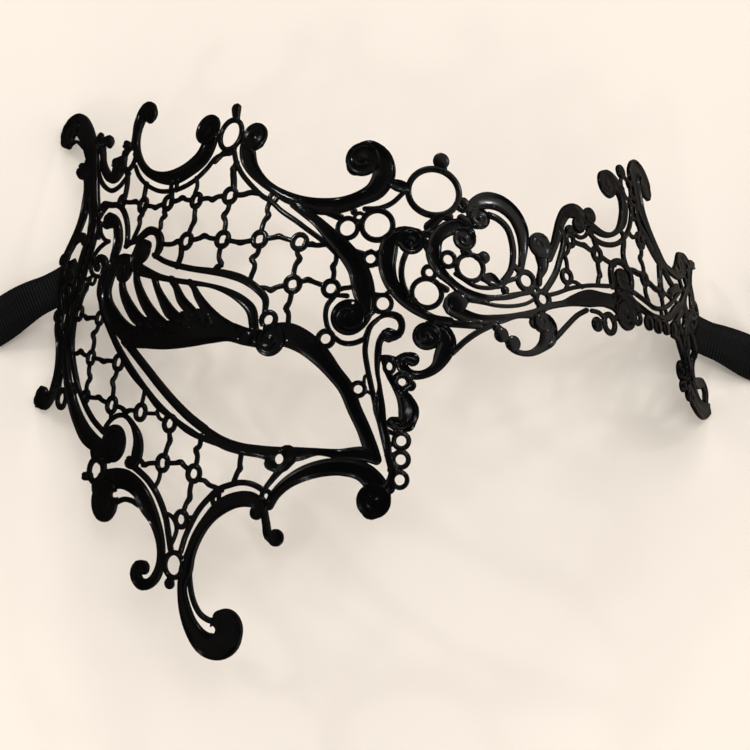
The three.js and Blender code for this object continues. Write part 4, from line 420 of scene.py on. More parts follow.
b 63 25.4 3 66.04 25.15 2.4 70.04 24.56 1.9 75 23.95 1.8 80 24.3 2 85.07 25.82 2.2 89.82 28.91 2.4 95.19 31.53 2.4 99.62 35.84 2.16 103.6 39 2.6 105.49 43.23 3.4 108.43 46.1 2.6 110.88 46.31 2.22
w 1.2 80.03 27.1 80.6 25
w 1.2 82.8 28.2 83.6 26.2
r 66.54 21.92 1.41 1.51 1.39
d 72.29 21.74 2.1
d 77.35 21.89 2.1
d 82.46 22.44 2
d 87.44 23.05 1.9
# right temple
c 99.66 44.05 3.2 -60 1
b 94.04 40.99 2.2 95.96 42.04 3.2 97.98 44.02 3.6
b 98.93 46.19 2.2 102.99 46.33 3 105.79 45.34 3
w 1.6 96.4 39 97.44 36.8 99.56 35.31
w 1.6 100.6 40.6 101.6 38.2 100.79 36.55
w 1.6 104.2 39.4 103.73 35.61 102.9 31.68 101.73 29.53
w 1.6 99.57 35.3 98.14 32.65 99.28 29.69 101.8 29 105.25 29.76
r 106 32.4 2 2.2 1.6
w 2.4 88.03 33.14 90.6 34.6 93.61 35.91
w 1.4 91 31.4 93.41 30.97 95.8 33
b 87.01 23.91 2 89.6 25.6 2 91.98 27.63 2 95 30 2.2
b 96.6 31 2.6 97.33 27.43 3.2 95.61 24.05 3.4 96.06 20.44 2.6 94.6 17.4 3.2 95.4 13 5 97 9.4 4.4 100.84 5.68 3.6 105 4.9 3.4 109.39 5.78 2.6
b 86.42 21.38 1.8 89.33 21.14 2 90.83 18.78 2 92.8 16 2.4
w 1.8 89 24.6 89.8 22.4
w 1.8 91.77 24.45 93.6 22.8 95.6 22.8
w 1.6 91.74 27.65 91.57 25.04 92.64 23.54
w 2.6 99.94 28.87 102 25.6 106 28.6
b 97.96 26.5 2.4 100.6 22.6 3.2 101.78 19.54 2.4 99.53 17.56 2.2 98.16 14.6 2 98.86 11.15 2.14 102.2 11.21 3.29 105.47 11.79 2.6 107.8 9.93 2.6 107.41 7.33 2.4
c 90.4 12.4 2.9 60 1
c 90.64 8.4 1.7 0 -1
c 94.6 6.9 2 0 -1
b 91.5 12 3.4 94 12.5 4.4
w 2.6 92 8.8 95 9.6
# bridges and fillets
w 1.4 -82 54 -81.7 58.2
w 1.1 -71.4 53.6 -71.4 56.4
w 1.1 -69.3 53.6 -69.3 56.4
b -108.4 66 2 -105.4 60.5 2.4 -103.4 56.4 1.6
b -116 42.5 1.6 -115.4 46.5 1.8 -111.5 50.2 2.2 -107.6 48.2 1.6
w 1.6 55 19.2 57.6 20.6
w 1.4 50 17.6 51.6 17.8
b 1.6 36 2.6 4.2 38.4 2.2
w 1.5 8.6 42.2 9.6 41
d 20.2 21.5 1.0
w 1.4 22.8 28.2 24.6 26.4
b 93 19.5 2.2 94 22.5 2.6 97 25.5 3.6 100 28.4 3
w 2 104.8 30.8 105.4 35 104.9 40
b 97.4 5.4 3.4 101 3.7 3.4 105 3.3 3.2 109.4 5 2.8
w 2.2 108.2 10.6 108 8
w 1.6 75 47 79 42.8 84.4 39.2
w 1.4 -54 60.4 -56.6 58.6
w 1.2 -112 36 -111 33 -112.4 29.5
w 1.4 -112.4 12.4 -113 9 -112.2 7.4
w 1.8 -30 43.6 -24 40.8 -19.6 38.6
w 1.6 30.2 26.2 29.9 24.3
w 1.3 10.2 40.6 11.2 41.0
b -76.7 20.9 1.3 -75.4 20.1 2 -73.9 18.9 2.4
b -63.1 20.0 1.2 -61.8 19.5 2 -60.4 18.4 2.4
b -58.0 19.9 1.2 -56.7 19.0 2.1 -55.3 17.8 2.6
w 1 -84.7 16.3 -83 14.8
w 0.6 -86.6 21.8 -84.6 19.6 -82.2 18.1 -79.8 17.6 -79.5 18.2
w 0.6 -82.4 23.4 -79 19.7 -75.2 16.8 -71.7 15.9 -71.2 16.6
w 0.6 -76.2 22.6 -72.2 18.8 -68.4 16.4 -65.3 15.9 -64.9 16.5
w 0.6 -70.2 22.6 -66.4 18.9 -62.8 16.5 -60.4 15.9 -60 16.6
w 0.6 -64 22.4 -60.4 18.8 -56.8 16.1 -54.1 15.3 -53.6 16.2
h -54.9 -56.3 0.9
h -86.3 -22 0.9
h -87.4 -21.9 0.75
"""

# ---- the camera -----------------------------------------------------------------------------
def rot(axis, deg):
    return Matrix.Rotation(math.radians(deg), 3, axis)

zr = -Vector(DOWN).normalized()
xr = (Vector((1, 0, 0)) - zr * zr.x).normalized()
yr = zr.cross(xr)
REST = Matrix((xr, yr, zr))
VIEW = rot("Z", 0.4) @ rot("X", -12.4) @ rot("Y", 6.3)
SHIFT = Vector((11.5, 0.0, -387.0))
cam_data = bpy.data.cameras.new("camera")
cam = bpy.data.objects.new("camera", cam_data)
bpy.context.scene.collection.objects.link(cam)
loc = (REST @ (VIEW.transposed() @ (-SHIFT)) - Vector(ORIGIN)) / 1000.0
cam.matrix_world = Matrix.Translation(loc) @ (REST @ VIEW.transposed()).to_4x4()
cam_data.sensor_width = 36.0
cam_data.lens = 36.0 * 1690.0 / 750.0
cam_data.clip_start = 0.01
bpy.context.scene.camera = cam

# ---- the face ------------------------------------------------------------------------------------
def theta(u):
    return math.radians(WRAP_ANGLE) * np.tanh(u / WRAP_WIDTH)

_h = 0.25
_t = theta((np.arange(640) + 0.5) * _h)
_X = np.concatenate([[0.0], np.cumsum(np.cos(_t) * _h)])
_Z = np.concatenate([[0.0], -np.cumsum(np.sin(_t) * _h)])
_U = np.arange(641) * _h
_REST = np.array([list(r) for r in REST])

def face(p):
    """flat pattern (u, v, height) to the resting mask, metres"""
    u, v, w = p[:, 0], p[:, 1], p[:, 2]
    x = np.sign(u) * np.interp(np.abs(u), _U, _X)
    z = np.interp(np.abs(u), _U, _Z)
    t = theta(u)
    d = -CROWN * v * v / 1000.0
    slope = 2 * CROWN * v / 1000.0
    cn = 1 / np.sqrt(1 + slope * slope)
    q = np.stack([x + np.sin(t) * d + np.sin(t) * cn * w,
                  v + slope * cn * w,
                  z + np.cos(t) * d + np.cos(t) * cn * w], 1)
    q = q @ _REST.T - np.array(ORIGIN)
    q[:, 2] = np.maximum(q[:, 2], 0.02)
    return q / 1000.0

# ---- strokes -----------------------------------------------------------------------------------------
def read_pattern(text):
    out = []
    for line in text.split("\n"):
        f = line.split()
        if f and f[0] != "#":
            out.append((f[0], [float(a) for a in f[1:]]))
    return out

def smooth(st, step):
    """stations [x, y, w] to a smooth centreline, centripetal Catmull-Rom"""
    st = [list(s) for s in st]
    n = len(st)
    if n == 2:
        d = math.hypot(st[1][0] - st[0][0], st[1][1] - st[0][1])
        m = max(2, int(math.ceil(d / step)))
        return np.array([[a + (b - a) * j / m for a, b in zip(*st)] for j in range(m + 1)])
    P = [[2 * a - b for a, b in zip(st[0], st[1])]] + st + [[2 * a - b for a, b in zip(st[-1], st[-2])]]
    out = []
    for i in range(1, n):
        p0, p1, p2, p3 = (np.array(q) for q in P[i - 1:i + 3])
        d = math.hypot(*(p2 - p1)[:2])
        m = max(1, int(round(d / step)))
        k = lambda a, b: max(1e-4, math.hypot(*(b - a)[:2])) ** 0.5
        t1 = k(p0, p1)
        t2 = t1 + k(p1, p2)
        t3 = t2 + k(p2, p3)
        for j in range(m):
            t = t1 + (t2 - t1) * j / m
            a1 = (t1 - t) / t1 * p0 + t / t1 * p1
            a2 = (t2 - t) / (t2 - t1) * p1 + (t - t1) / (t2 - t1) * p2
            a3 = (t3 - t) / (t3 - t2) * p2 + (t - t2) / (t3 - t2) * p3
            b1 = (t2 - t) / t2 * a1 + t / t2 * a2
            b2 = (t3 - t) / (t3 - t1) * a2 + (t - t1) / (t3 - t1) * a3
            out.append((t2 - t) / (t2 - t1) * b1 + (t - t1) / (t2 - t1) * b2)
    out.append(np.array(P[n]))
    out = np.array(out)
    out[:, 2] = np.maximum(out[:, 2], 0.6)
    return out

def section(h, full):
    """cross-section of a stroke of half width h: (across, height), from the lower left round over the top"""
    lo, b = -0.5, min(0.2, 0.3 * h)
    top = 0.32 + 0.28 * min(1.0, h)
    if not full:
        half = [(h - b, lo), (h, lo + 0.22), (h, 0.10), (0.90 * h, top * 0.62), (0.66 * h, top * 0.90), (0.36 * h, top * 0.99)]
        mid = (0.0, top)
    else:
        plain = [(h - b, lo), (h, lo + 0.22), (h, 0.10), (0.93 * h, top * 0.55), (0.80 * h, top * 0.80),
                 (0.64 * h, top * 0.92), (0.46 * h, top * 0.97), (0.30 * h, top * 0.99), (0.16 * h, top)]
        mid = (0.0, top)
        q = min(1.0, max(0.0, (h - 0.8) / 0.5))
        if q > 0:
            r = min(RIM, 0.28 * h)
            crest = 0.62
            dish = crest - min(0.5, 0.26 * (h - r))
            rich = [(h - b, lo), (h, lo + 0.22), (h, 0.18), (h - 0.10 * r, 0.42), (h - 0.45 * r, crest),
                    (h - 0.85 * r, crest - 0.02), (h - 1.35 * r, crest - 0.28 * min(1, (crest - dish) / 0.3)),
                    (h - 2.0 * r, dish), (0.32 * h, dish - 0.04)]
            half = [(s0 + (s1 - s0) * q, z0 + (z1 - z0) * q) for (s0, z0), (s1, z1) in zip(plain, rich)]
            mid = (0.0, top + (dish - 0.06 - top) * q)
        else:
            half = plain
    return [(-s, z) for s, z in half] + [mid] + half[::-1]

class Shape:
    def __init__(self):
        self.v, self.f = [], []
    def add(self, verts, faces):
        base = len(self.v)
        self.v.extend(verts)
        self.f.extend([tuple(i + base for i in f) for f in faces])

BOSSES = []                     # (x, y, radius) of the curled ends and beads

class Depth:
    """how deep a place lies inside the leaves: the deepest and the next deepest, with the deepest one's number"""
    CELL = 0.2
    def __init__(self, leaves, lo=(-146.0, -80.0), hi=(120.0, 96.0)):
        self.lo = lo
        self.n = [int((h - l) / self.CELL) for l, h in zip(lo, hi)]
        self.first = np.full(self.n, -9.0)
        self.second = np.full(self.n, -9.0)
        self.who = np.full(self.n, -1)
        for k, c in enumerate(leaves):
            own = np.full(self.n, -9.0)
            for x, y, w in c:
                h = w / 2
                i0, i1 = (int((x + e * (h + 0.3) - lo[0]) / self.CELL) for e in (-1, 1))
                j0, j1 = (int((y + e * (h + 0.3) - lo[1]) / self.CELL) for e in (-1, 1))
                gx = (np.arange(i0, i1 + 1) + 0.5) * self.CELL + lo[0] - x
                gy = (np.arange(j0, j1 + 1) + 0.5) * self.CELL + lo[1] - y
                d = h - np.sqrt(gx[:, None] ** 2 + gy[None, :] ** 2)
                v = own[i0:i1 + 1, j0:j1 + 1]
                np.maximum(v, d, out=v)
            xs, ys = np.nonzero(own > -5)
            if len(xs) == 0:
                continue
            sl = (slice(xs.min(), xs.max() + 1), slice(ys.min(), ys.max() + 1))
            o, f, s, w = own[sl], self.first[sl], self.second[sl], self.who[sl]
            new = o > f
            s[new] = f[new]
            f[new] = o[new]
            w[new] = k
            mid = ~new & (o > s)
            s[mid] = o[mid]
    def other(self, x, y, k):
        i, j = int((x - self.lo[0]) / self.CELL), int((y - self.lo[1]) / self.CELL)
        return self.second[i, j] if self.who[i, j] == k else self.first[i, j]

DEPTH = []

def under(x, y, z, k=-1):
    """a stroke's surface sinks where another leaf, a curled end or a bead lies over it, so that the
    raised rims follow the outline of the whole"""
    if DEPTH and z > 0.1:
        d = DEPTH[0].other(x, y, k)
        if d > 0.30:
            level = 0.60 - min(0.48, 0.30 * (d - 0.30))
            q = min(1.0, (d - 0.30) / 0.35)
            z = z + (min(z, level) - z) * q
    for bx, by, br in BOSSES:
        d = math.hypot(x - bx, y - by)
        if d < br:
            q = min(1.0, (br - d) / min(0.55, 0.4 * br))
            z = z + (min(z, -0.05) - z) * q * q * (3 - 2 * q)
    return z

def stroke_solid(st, step, full, k_own=-1, bottom=-0.5):
    c = smooth(st, step)
    n = len(c)
    d = np.gradient(c[:, :2], axis=0)
    d /= np.maximum(1e-9, np.hypot(d[:, 0], d[:, 1]))[:, None]
    # stations with rounded ends
    S = []
    for i, (end, sign) in enumerate(((0, -1), (n - 1, 1))):
        h = c[end, 2] / 2
        cap = []
        for a in (12, 38, 64, 84) if h > 1 else (15, 50, 80):
            a = math.radians(a)
            cap.append((c[end, :2] + sign * d[end] * h * math.sin(a) * 0.999, d[end], h * math.cos(a), h))
        S.append(cap)
    rows = [*S[0][::-1]] + [(c[i, :2], d[i], c[i, 2] / 2, c[i, 2] / 2) for i in range(n)] + S[1]
    shape = Shape()
    verts = []
    k = None
    ridge = st[0][2] <= 0.6
    for p, t, h, href in rows:
        sec = section(href, full)
        g = h / href
        k = len(sec)
        fall = math.sqrt(max(0.0, g)) if g < 1 else 1.0
        for s, z in sec:
            z2 = z if g >= 0.999 else (-0.1 + (z + 0.1) * (0.35 + 0.65 * fall))
            px, py = p[0] - t[1] * s * g, p[1] + t[0] * s * g
            z2 = max(z2, bottom) if z2 < 0 else z2
            verts.append((px, py, z2 if ridge else under(px, py, z2, k_own)))
    m = len(rows)
    faces = []
    for i in range(m - 1):
        for j in range(k):
            a, b = i * k + j, i * k + (j + 1) % k
            faces.append((a, b, b + k, a + k))
    faces.append(tuple(range(k))[::-1])
    faces.append(tuple((m - 1) * k + j for j in range(k)))
    shape.add(verts, faces)
    return shape

def ring_solid(x, y, a, b, w):
    n = max(22, int(2 * math.pi * max(a, b) / 0.6))
    sec = section(w / 2, False)
    k = len(sec)
    verts, faces = [], []
    for i in range(n):
        t = 2 * math.pi * i / n
        cx, cy = a * math.cos(t), b * math.sin(t)
        nx, ny = math.cos(t) / a, math.sin(t) / b
        l = math.hypot(nx, ny)
        for s, z in sec:
            verts.append((x + cx - nx / l * s, y + cy - ny / l * s, max(z, -0.34)))
    for i in range(n):
        for j in range(k):
            p, q = i * k + j, i * k + (j + 1) % k
            p2, q2 = ((i + 1) % n) * k + j, ((i + 1) % n) * k + (j + 1) % k
            faces.append((p, q, q2, p2))
    s = Shape()
    s.add(verts, faces)
    return s

def entry_of(x, y, r, strokes):
    """where the widest leaf that ends in a curl comes in: (angle, way of turning, half window)"""
    best = None
    for c in strokes:
        for seq in (c, c[::-1]):
            d = np.hypot(seq[:, 0] - x, seq[:, 1] - y)
            if d[-1] > 1.05 * r or d[0] < r:
                continue
            i = len(seq) - 1
            while i > 0 and d[i] < r:
                i -= 1
            p, q = seq[i, :2], seq[min(i + 1, len(seq) - 1), :2]
            h = seq[i, 2] / 2
            side = (q[0] - p[0]) * (y - p[1]) - (q[1] - p[1]) * (x - p[0])
            if h > 0.55 and (best is None or h > best[3]):
                best = (math.atan2(p[1] - y, p[0] - x), 1 if side > 0 else -1, min(1.2, h / r), h)
    return best[:3] if best else None

def boss_solid(x, y, r, start=None, sense=1, entry=None):
    """bead, or the curled end of a leaf: the leaf's rim runs round it and winds in to a small eye"""
    n = max(16, int(2 * math.pi * r / 0.4))
    if start is None:
        rho = [0.0, 0.35, 0.62, 0.82, 0.94, 1.0]
    else:
        m = max(7, int(r / 0.3))
        rho = [i / m * (1 - 0.12 / r) for i in range(m + 1)] + [1.0]
    verts, faces = [], []
    rim_w = min(0.24, 0.11 * r)
    low = 0.30
    def height(q, t):
        if start is None:
            return 0.22 + 0.36 * math.sqrt(max(0.0, 1 - (q * 0.96) ** 2))
        d = q * r
        edge = r - d
        if entry:
            way, half = entry[1], entry[2]
            off = (t - entry[0] + math.pi) % (2 * math.pi) - math.pi
            door = min(1.0, max(0.0, (abs(off) - 0.75 * half) / 0.25))
            phase = ((t - entry[0]) * way + half) % (2 * math.pi) / (2 * math.pi)
            where = (0.98 - 0.66 * phase) * r
            fade = min(1.0, phase / 0.05)
        else:
            door = 1.0
            phase = ((t - math.radians(start)) * sense) % (2 * math.pi) / (2 * math.pi)
            where = (0.30 + 0.56 * phase) * r
            fade = min(1.0, phase / 0.12)
        rim = (0.58 - low) * door * math.exp(-((edge - 0.30) / (rim_w + 0.05)) ** 2)
        ridge = (0.46 - low) * fade * math.exp(-((d - where) / (rim_w + 0.02 * r)) ** 2)
        eye = (0.46 - low) * math.exp(-(d / (0.24 * r)) ** 4)
        z = low + max(rim, ridge, eye)
        if edge < 0.12:
            z -= 0.22 * door
        return z
    verts.append((x, y, height(0.0, math.radians(start or 0))))
    for q in rho[1:]:
        for i in range(n):
            t = 2 * math.pi * i / n
            verts.append((x + r * q * math.cos(t), y + r * q * math.sin(t), height(q, t)))
    top = len(rho) - 1
    for zz, q in ((-0.28, 1.0), (-0.5, 0.92)):
        for i in range(n):
            t = 2 * math.pi * i / n
            verts.append((x + r * q * math.cos(t), y + r * q * math.sin(t), zz))
    for i in range(n):
        faces.append((0, 1 + i, 1 + (i + 1) % n))
    for k in range(top + 1):
        for i in range(n):
            a, b = 1 + k * n + i, 1 + k * n + (i + 1) % n
            faces.append((a, a + n, b + n, b))
    faces.append(tuple(1 + (top + 1) * n + i for i in range(n))[::-1])
    s = Shape()
    s.add(verts, faces)
    return s

def plug(x, y, a, b):
    n = max(20, int(2 * math.pi * max(a, b) / 0.5))
    verts = [(x + a * math.cos(2 * math.pi * i / n), y + b * math.sin(2 * math.pi * i / n), z) for z in (-2.0, 2.0) for i in range(n)]
    faces = [(i, (i + 1) % n, n + (i + 1) % n, n + i) for i in range(n)]
    faces += [tuple(range(n))[::-1], tuple(range(n, 2 * n))]
    s = Shape()
    s.add(verts, faces)
    return s

# ---- the mask ------------------------------------------------------------------------------------------
def to_object(name, shapes, scene_link=True):
    me = bpy.data.meshes.new(name)
    V, F = [], []
    for s in shapes:
        b = len(V)
        V.extend(s.v)
        F.extend([tuple(i + b for i in f) for f in s.f])
    me.from_pydata(V, [], F)
    me.validate()
    bm = bmesh.new()
    bm.from_mesh(me)
    bmesh.ops.recalc_face_normals(bm, faces=bm.faces)
    bm.to_mesh(me)
    bm.free()
    ob = bpy.data.objects.new(name, me)
    bpy.context.scene.collection.objects.link(ob)
    return ob

items = read_pattern(PATTERN)
solids, cuts = [], []
STEP = 0.75
FINE = -0.34                    # underside of wires and rings
TRIANGLES = 186000
LEAVES = [smooth([a[i:i + 3] for i in range(0, len(a), 3)], 0.5) for kind, a in items if kind == "b"]
for kind, a in items:
    if kind in "cd":
        BOSSES.append((a[0], a[1], a[2]))
DEPTH.append(Depth([smooth([a[i:i + 3] for i in range(0, len(a), 3)], 0.3) for kind, a in items if kind == "b"]))
leaf = -1
for kind, a in items:
    if kind == "b":
        st = [a[i:i + 3] for i in range(0, len(a), 3)]
        leaf += 1
        solids.append(stroke_solid(st, STEP, True, leaf))
    elif kind == "w":
        st = [[a[i], a[i + 1], a[0]] for i in range(1, len(a), 2)]
        solids.append(stroke_solid(st, STEP, False, -1, FINE if a[0] < 1.8 else -0.5))
    elif kind == "k":
        xa, ya, xb, yb, p, cusp, bulge = a
        L = math.hypot(xb - xa, yb - ya)
        ux, uy = (xb - xa) / L, (yb - ya) / L
        c = (xa + ux * L * p - uy * cusp, ya + uy * L * p + ux * cusp)
        st = []
        for A, B in (((xa, ya), c), (c, (xb, yb))):
            for k in range(1 if st else 0, 5):
                t = k / 4
                q = (1 - t if A is c else t) ** NET_SKEW
                q = bulge * 4 * q * (1 - q)
                st.append([A[0] + (B[0] - A[0]) * t - uy * q, A[1] + (B[1] - A[1]) * t + ux * q, NET_WIRE])
            if B[0] != xb:
                st[-1][2] = NET_WIRE * 1.25
        solids.append(stroke_solid(st, 0.55, False, -1, FINE))
    elif kind == "r" or kind == "n":
        x, y, ra, rb, w = (a[0], a[1], NODE_R, NODE_R, NODE_W) if kind == "n" else a
        solids.append(ring_solid(x, y, ra, rb, w))
        if ra > w / 2 + 0.15 and rb > w / 2 + 0.15:
            cuts.append(plug(x, y, ra - w / 2 - 0.03, rb - w / 2 - 0.03))
    elif kind == "c":
        solids.append(boss_solid(a[0], a[1], a[2], a[3], a[4], entry_of(a[0], a[1], a[2], LEAVES)))
    elif kind == "d":
        solids.append(boss_solid(a[0], a[1], a[2]))
    elif kind == "h":
        cuts.append(plug(a[0], a[1], a[2], a[3] if len(a) > 3 else a[2]))

def joined(name, shapes, solver="MANIFOLD"):
    """one solid out of overlapping strokes: a tree of unions, neighbours first"""
    obs = [to_object(f"{name}_{i}", [s]) for i, s in enumerate(shapes)]
    while len(obs) > 1:
        nxt = []
        for i in range(0, len(obs), 8):
            grp = obs[i:i + 8]
            if len(grp) > 1:
                col = bpy.data.collections.new("operands")
                for o in grp[1:]:
                    col.objects.link(o)
                boolean(grp[0], col, "UNION", solver)
                for o in grp[1:]:
                    bpy.data.objects.remove(o, do_unlink=True)
                bpy.data.collections.remove(col)
            nxt.append(grp[0])
        obs = nxt
    return obs[0]

def boolean(ob, col, op, solver="MANIFOLD"):
    m = ob.modifiers.new("b", "BOOLEAN")
    m.operation = op
    m.operand_type = "COLLECTION"
    m.collection = col
    m.solver = solver
    dg = bpy.context.evaluated_depsgraph_get()
    me = bpy.data.meshes.new_from_object(ob.evaluated_get(dg))
    ob.modifiers.clear()
    old = ob.data
    ob.data = me
    bpy.data.meshes.remove(old)

mask = joined("stroke", solids)
col = bpy.data.collections.new("holes")
for i, s in enumerate(cuts):
    o = to_object(f"cut_{i}", [s])
    col.objects.link(o)
boolean(mask, col, "DIFFERENCE")
for o in list(col.objects):
    bpy.data.objects.remove(o, do_unlink=True)
bpy.data.collections.remove(col)

bm = bmesh.new()
bm.from_mesh(mask.data)
long_edges = [e for e in bm.edges if e.calc_length() > 3.0]
if long_edges:
    bmesh.ops.subdivide_edges(bm, edges=long_edges, cuts=1)
bmesh.ops.triangulate(bm, faces=bm.faces)
world = face(np.array([v.co[:] for v in bm.verts])) * 1000.0
for v, q in zip(bm.verts, world):
    v.co = q
bm.to_mesh(mask.data)
bm.free()

# the slivers that the joins leave are collapsed, down to the piece's share of triangles
thin = mask.modifiers.new("thin", "DECIMATE")
thin.ratio = min(1.0, TRIANGLES / len(mask.data.polygons))
thin.use_collapse_triangulate = True
me = bpy.data.meshes.new_from_object(mask.evaluated_get(bpy.context.evaluated_depsgraph_get()))
mask.modifiers.clear()
old = mask.data
mask.data = me
bpy.data.meshes.remove(old)

bm = bmesh.new()
bm.from_mesh(mask.data)
for v in bm.verts:
    v.co = v.co / 1000.0
    v.co.z = max(v.co.z, 0.00002)
bm.normal_update()
for f in bm.faces:
    f.smooth = True
for e in bm.edges:
    if len(e.link_faces) == 2 and e.calc_face_angle(0.0) > math.radians(48):
        e.smooth = False
bm.to_mesh(mask.data)
loose = sum(1 for e in bm.edges if len(e.link_faces) != 2)
bm.free()
mask.name = "mask_relief"
mask.data.name = "mask_relief"
print("mask triangles", len(mask.data.polygons), "open edges", loose)
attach(mask, "root")
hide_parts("mask")

# ---- materials ---------------------------------------------------------------------------------------------
def nodes_of(name):
    m = bpy.data.materials.new(name)
    m.use_nodes = True
    return m, m.node_tree.nodes, m.node_tree.links, m.node_tree.nodes["Principled BSDF"]

enamel, N, L, bsdf = nodes_of("black_enamel")
tc = N.new("ShaderNodeTexCoord")
cloud = N.new("ShaderNodeTexNoise")
cloud.inputs["Scale"].default_value = 90
cloud.inputs["Detail"].default_value = 4
L.new(tc.outputs["Object"], cloud.inputs["Vector"])
ramp = N.new("ShaderNodeValToRGB")
ramp.color_ramp.elements[0].position, ramp.color_ramp.elements[0].color = 0.3, (0.0008, 0.0007, 0.0008, 1)
ramp.color_ramp.elements[1].position, ramp.color_ramp.elements[1].color = 0.75, (0.0024, 0.0022, 0.0022, 1)
L.new(cloud.outputs["Fac"], ramp.inputs["Fac"])
L.new(ramp.outputs["Color"], bsdf.inputs["Base Color"])
rough = N.new("ShaderNodeMapRange")
rough.inputs["From Min"].default_value, rough.inputs["From Max"].default_value = 0.3, 0.7
rough.inputs["To Min"].default_value, rough.inputs["To Max"].default_value = 0.10, 0.18
fine = N.new("ShaderNodeTexNoise")
fine.inputs["Scale"].default_value = 420
fine.inputs["Detail"].default_value = 3
L.new(tc.outputs["Object"], fine.inputs["Vector"])
L.new(fine.outputs["Fac"], rough.inputs["Value"])
L.new(rough.outputs["Result"], bsdf.inputs["Roughness"])
bump = N.new("ShaderNodeBump")
bump.inputs["Strength"].default_value = 0.2
bump.inputs["Distance"].default_value = 0.00005
L.new(fine.outputs["Fac"], bump.inputs["Height"])
L.new(bump.outputs["Normal"], bsdf.inputs["Normal"])
bsdf.inputs["IOR"].default_value = 1.45
bsdf.inputs["Specular IOR Level"].default_value = 0.25
bsdf.inputs["Coat Weight"].default_value = 0.05
bsdf.inputs["Coat Roughness"].default_value = 0.06
mask.data.materials.clear()
mask.data.materials.append(enamel)

grosgrain, N, L, bsdf = nodes_of("black_grosgrain")
uv = N.new("ShaderNodeUVMap")
uv.uv_map = "run"
sep = N.new("ShaderNodeSeparateXYZ")
L.new(uv.outputs["UV"], sep.inputs["Vector"])
ribs = N.new("ShaderNodeMath")
ribs.operation = "SINE"
mul = N.new("ShaderNodeMath")
mul.operation = "MULTIPLY"
mul.inputs[1].default_value = 2 * math.pi / 0.85
L.new(sep.outputs["X"], mul.inputs[0])
L.new(mul.outputs["Value"], ribs.inputs[0])
rr = N.new("ShaderNodeMapRange")
rr.inputs["From Min"].default_value = -1
L.new(ribs.outputs["Value"], rr.inputs["Value"])
# painted shade: the grooves between the ribs are coloured darker than the rib tops, following the bump's height
ramp = N.new("ShaderNodeValToRGB")
ramp.color_ramp.elements[0].position, ramp.color_ramp.elements[0].color = 0.1, (0.0002, 0.0002, 0.0003, 1)
ramp.color_ramp.elements[1].position, ramp.color_ramp.elements[1].color = 0.9, (0.0026, 0.0025, 0.0028, 1)
L.new(rr.outputs["Result"], ramp.inputs["Fac"])
L.new(ramp.outputs["Color"], bsdf.inputs["Base Color"])
bump = N.new("ShaderNodeBump")
bump.inputs["Strength"].default_value = 0.8
bump.inputs["Distance"].default_value = 0.00025
L.new(rr.outputs["Result"], bump.inputs["Height"])
L.new(bump.outputs["Normal"], bsdf.inputs["Normal"])
bsdf.inputs["Roughness"].default_value = 0.5
bsdf.inputs["Specular IOR Level"].default_value = 0.18
bsdf.inputs["Sheen Weight"].default_value = 0.02
bsdf.inputs["Sheen Roughness"].default_value = 0.4

# ---- the ribbons -----------------------------------------------------------------------------------------------
WIDTH, THICK, LENGTH = 13.0, 0.7, 420.0
COIL_OUTER, COIL_LINE, COIL_PITCH = 31.0, 29.0, 5.5
RIBBONS = {
    "left": dict(start=(-88.2, 24.2, 8.6), toward=(-0.925, -0.38), drop=20.0, run=42.0, side=-1, lead=11.0, rise=0.34, twist=(17.0, 40.0)),
    "right": dict(start=(92.0, 11.2, 4.6), toward=(0.9481, -0.318), drop=16.0, run=38.0, side=1, lead=9.0, rise=0.45, twist=(15.0, 36.0)),
}

